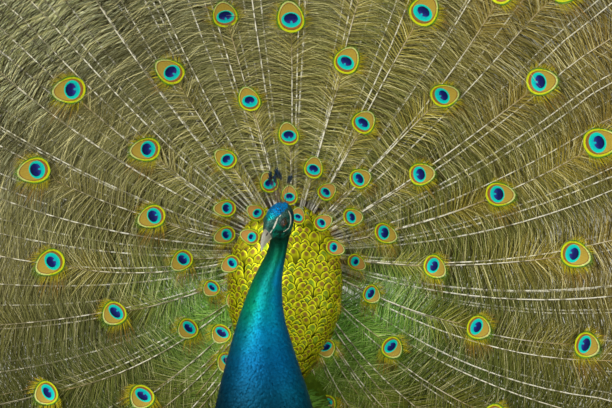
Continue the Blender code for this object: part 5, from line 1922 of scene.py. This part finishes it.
def build_stage(studio):
    """A pale floor, a broad key light from the upper left, a fill, and the camera."""
    mesh = bpy.data.meshes.new("floor")
    reach = 60.0
    corners = [(-reach, -reach, 0), (reach, -reach, 0), (reach, reach, 0), (-reach, reach, 0)]
    mesh.from_pydata(corners, [], [(0, 1, 2, 3)])
    mesh.materials.append(floor_finish(studio))
    floor = bpy.data.objects.new("floor", mesh)
    bpy.context.scene.collection.objects.link(floor)
    heart = Vector(tuple(TRAIN_AT + PLACE))
    for name, place, size, power in (("key", (-2.2, -3.4, 3.6), 2.6, studio.key_power),
                                     ("fill", (3.2, -3.0, 1.8), 3.0, studio.fill_power),
                                     ("back", (0.6, 3.4, 3.0), 2.4, studio.back_power)):
        lamp = bpy.data.lights.new(name, "AREA")
        lamp.size = size
        lamp.energy = power
        light = bpy.data.objects.new(name, lamp)
        light.location = place
        light.rotation_euler = (heart - Vector(place)).to_track_quat("-Z", "Y").to_euler()
        bpy.context.scene.collection.objects.link(light)
    world = bpy.data.worlds.new("studio air")
    world.use_nodes = True
    world.node_tree.nodes["Background"].inputs["Color"].default_value = (*studio.air_colour, 1.0)
    world.node_tree.nodes["Background"].inputs["Strength"].default_value = studio.air_strength
    bpy.context.scene.world = world
    towards, right, up = view_axes(studio)
    eye = from_head(EYE_AT + (0.0, 0.0070, 0.0)) + PLACE
    target = eye + right * studio.aim_right + up * studio.aim_up
    lens = bpy.data.cameras.new("camera")
    lens.sensor_width = 36.0
    lens.lens = lens.sensor_width / 2 / tan(studio.field / 2)
    lens.clip_end = 100.0
    camera = bpy.data.objects.new("camera", lens)
    camera.location = Vector(tuple(target + towards * studio.distance))
    camera.rotation_euler = Vector(tuple(-towards)).to_track_quat("-Z", "Y").to_euler()
    bpy.context.scene.collection.objects.link(camera)
    bpy.context.scene.camera = camera
    bpy.context.scene.view_settings.view_transform = "Standard"
    return camera


# ---- the add-on ----
def colour(name, description, value):
    """A colour that a user may change, as linear light."""
    settings = {"size": 3, "min": 0.0, "max": 1.0, "subtype": "COLOR"}
    return FloatVectorProperty(name=name, description=description, default=value, **settings)


def number(name, description, value, **settings):
    """A number that a user may change."""
    return FloatProperty(name=name, description=description, default=value, **settings)


def whole(name, description, value, **settings):
    """A count that a user may change."""
    return IntProperty(name=name, description=description, default=value, **settings)


class PeacockColours(bpy.types.PropertyGroup):
    """Colours of the plumage and horn."""

    neck_blue: colour("Neck blue", "Middle of the neck", linear(0, 126, 172))
    neck_deep: colour("Deep blue", "Foot of the neck", linear(0, 88, 134))
    neck_green: colour("Neck green", "Sheen on the neck's right side", linear(4, 152, 112))
    crown_blue: colour("Crown blue", "Back of the crown", linear(0, 152, 236))
    crown_teal: colour("Crown teal", "Forehead", linear(0, 172, 160))
    face_dark: colour("Face", "Small dark feathers of the face", linear(14, 52, 46))
    bare_white: colour("Bare skin", "White skin above and below the eye", linear(214, 218, 196))
    bill_horn: colour("Bill", "Horn of the bill", linear(160, 158, 138))
    scale_gold: colour("Scale", "Field of a mantle scale", linear(172, 172, 8))
    scale_rim: colour("Scale rim", "Bright rim of a mantle scale", linear(214, 216, 24))
    barb_gold: colour("Gold barbs", "Barbs just below an eye", linear(176, 166, 58))
    barb_olive: colour("Olive barbs", "Barbs half way down a shaft", linear(112, 124, 62))
    shaft_ivory: colour("Shaft", "Lower shaft", linear(246, 244, 230))
    eye_teal: colour("Eye disc", "Turquoise disc of a train eye", linear(0, 204, 178))
    eye_indigo: colour("Eye heart", "Dark heart of a train eye", linear(6, 22, 92))
    eye_bronze: colour("Eye bronze", "Bronze round the disc", linear(176, 150, 58))
    eye_lime: colour("Eye ring", "Yellow-green ring", linear(200, 206, 22))


class PeacockSizes(bpy.types.PropertyGroup):
    """Sizes and counts of the train's fine feathers."""

    inner_step: number("Inner step", "Degrees between the eyes of an inner row", 34.0, min=10, max=60)
    barb_gap: number("Barb gap", "Gap between barbs near an eye", 0.00125, min=0.0008, unit="LENGTH")
    barb_width: number("Barb width", "Width of a barb at its root", 0.00068, min=0.0004, unit="LENGTH")
    under_gap: number("Under gap", "Gap between the broad barbs behind", 0.0042, min=0.001, max=0.02,
                      unit="LENGTH")
    under_width: number("Under width", "Width of the broad barbs behind", 0.0021, min=0.0005, max=0.01,
                        unit="LENGTH")
    shaft_width: number("Shaft width", "Width of a shaft at its root", 0.0034, min=0.001, unit="LENGTH")
    fringe_barbs: whole("Fringe barbs", "Loose barbs round each eye", 110, min=10, max=200)
    vane_pieces: whole("Vane pieces", "Pieces that hold the train's barbs", 6, min=1, max=10)
    eye_pieces: whole("Eye pieces", "Pieces that hold the train's eyes", 2, min=1, max=6)


class PeacockStudio(bpy.types.PropertyGroup):
    """Floor, lights and camera."""

    floor_colour: colour("Floor", "Colour of the floor", (0.80, 0.80, 0.75))
    air_colour: colour("Air", "Colour of the light all round", (0.63, 0.62, 0.53))
    key_power: number("Key", "Power of the key light", 195.0, min=0, unit="POWER")
    fill_power: number("Fill", "Power of the fill light", 60.0, min=0, unit="POWER")
    back_power: number("Back", "Power of the light behind", 50.0, min=0, unit="POWER")
    air_strength: number("Air", "Strength of the light all round", 0.42, min=0)
    azimuth: number("Azimuth", "Camera's bearing from straight ahead", radians(7.0), subtype="ANGLE")
    elevation: number("Elevation", "Camera's height angle", radians(8.7), subtype="ANGLE")
    distance: number("Distance", "Camera to the bird's eye", 4.0, min=0.5, unit="LENGTH")
    field: number("Field", "Angle of view across the picture", radians(12.92), subtype="ANGLE")
    aim_right: number("Aim right", "View's middle right of the bird's left eye", 0.0317, unit="LENGTH")
    aim_up: number("Aim up", "View's middle above the bird's left eye", 0.0268, unit="LENGTH")


def made(context, *builders):
    """Runs builders of pieces with the bird's colours; what goes wrong in one is raised."""
    for build in builders:
        build(context.scene.peacock_colours)
    return {"FINISHED"}


class PeacockSkin(bpy.types.Operator):
    """Make the skin of head, neck, trunk and thighs"""

    bl_idname = "peacock.skin"
    bl_label = "Skin"

    def execute(self, context):
        return made(context, build_skin)


class PeacockHead(bpy.types.Operator):
    """Make the eyes, lids, bill and crest"""

    bl_idname = "peacock.head"
    bl_label = "Eyes, bill and crest"

    def execute(self, context):
        return made(context, build_eyes, build_lids, build_bill, build_crest)


class PeacockCoat(bpy.types.Operator):
    """Make the small feathers of head, neck and body"""

    bl_idname = "peacock.coat"
    bl_label = "Body feathers"

    def execute(self, context):
        return made(context, build_head_coat, build_neck_coat, build_body_coat, build_down, build_plumes)


class PeacockWings(bpy.types.Operator):
    """Make the wings' coverts and flight feathers"""

    bl_idname = "peacock.wings"
    bl_label = "Wings"

    def execute(self, context):
        return made(context, build_coverts, build_flight_feathers)


class PeacockMantle(bpy.types.Operator):
    """Make the golden scales of the mantle"""

    bl_idname = "peacock.mantle"
    bl_label = "Golden mantle"

    def execute(self, context):
        return made(context, build_shield)


class PeacockTrain(bpy.types.Operator):
    """Make the train: shafts, vanes and eyes, and the short tail behind it"""

    bl_idname = "peacock.train"
    bl_label = "Train and tail"

    def execute(self, context):
        colours, sizes = context.scene.peacock_colours, context.scene.peacock_sizes
        train = Train(sizes)
        build_shafts(train, sizes, colours)
        build_vanes(train, sizes, colours)
        build_eyes_of_train(train, sizes, colours)
        build_tail(colours)
        return {"FINISHED"}


class PeacockLegs(bpy.types.Operator):
    """Make the scaly legs, claws and spurs"""

    bl_idname = "peacock.legs"
    bl_label = "Legs and claws"

    def execute(self, context):
        return made(context, build_legs, build_claws)


class PeacockStage(bpy.types.Operator):
    """Make the floor, lights and camera"""

    bl_idname = "peacock.stage"
    bl_label = "Studio"

    def execute(self, context):
        build_stage(context.scene.peacock_studio)
        return {"FINISHED"}


MAKERS = (PeacockSkin, PeacockHead, PeacockCoat, PeacockWings, PeacockMantle, PeacockTrain, PeacockLegs,
          PeacockStage)
GROUPS = {"peacock_colours": PeacockColours, "peacock_sizes": PeacockSizes, "peacock_studio": PeacockStudio}


class PeacockPanel(bpy.types.Panel):
    """Lists the bird's pieces, sizes and colours"""

    bl_idname = "VIEW3D_PT_peacock"
    bl_label = "Displaying peacock"
    bl_space_type = "VIEW_3D"
    bl_region_type = "UI"
    bl_category = "Peacock"

    def draw(self, context):
        for maker in MAKERS:
            self.layout.operator(maker.bl_idname)
        for name, group in GROUPS.items():
            box = self.layout.box()
            for field in group.__annotations__:
                box.prop(getattr(context.scene, name), field)


def register():
    for kind in (*GROUPS.values(), *MAKERS, PeacockPanel):
        bpy.utils.register_class(kind)
    for name, group in GROUPS.items():
        setattr(bpy.types.Scene, name, PointerProperty(type=group))


def unregister():
    for name in GROUPS:
        delattr(bpy.types.Scene, name)
    for kind in (PeacockPanel, *reversed(MAKERS), *GROUPS.values()):
        bpy.utils.unregister_class(kind)


def main():
    """Makes every piece in order."""
    register()
    for maker in MAKERS:
        group, name = maker.bl_idname.split(".")
        getattr(getattr(bpy.ops, group), name)()


if __name__ == "__main__":
    main()
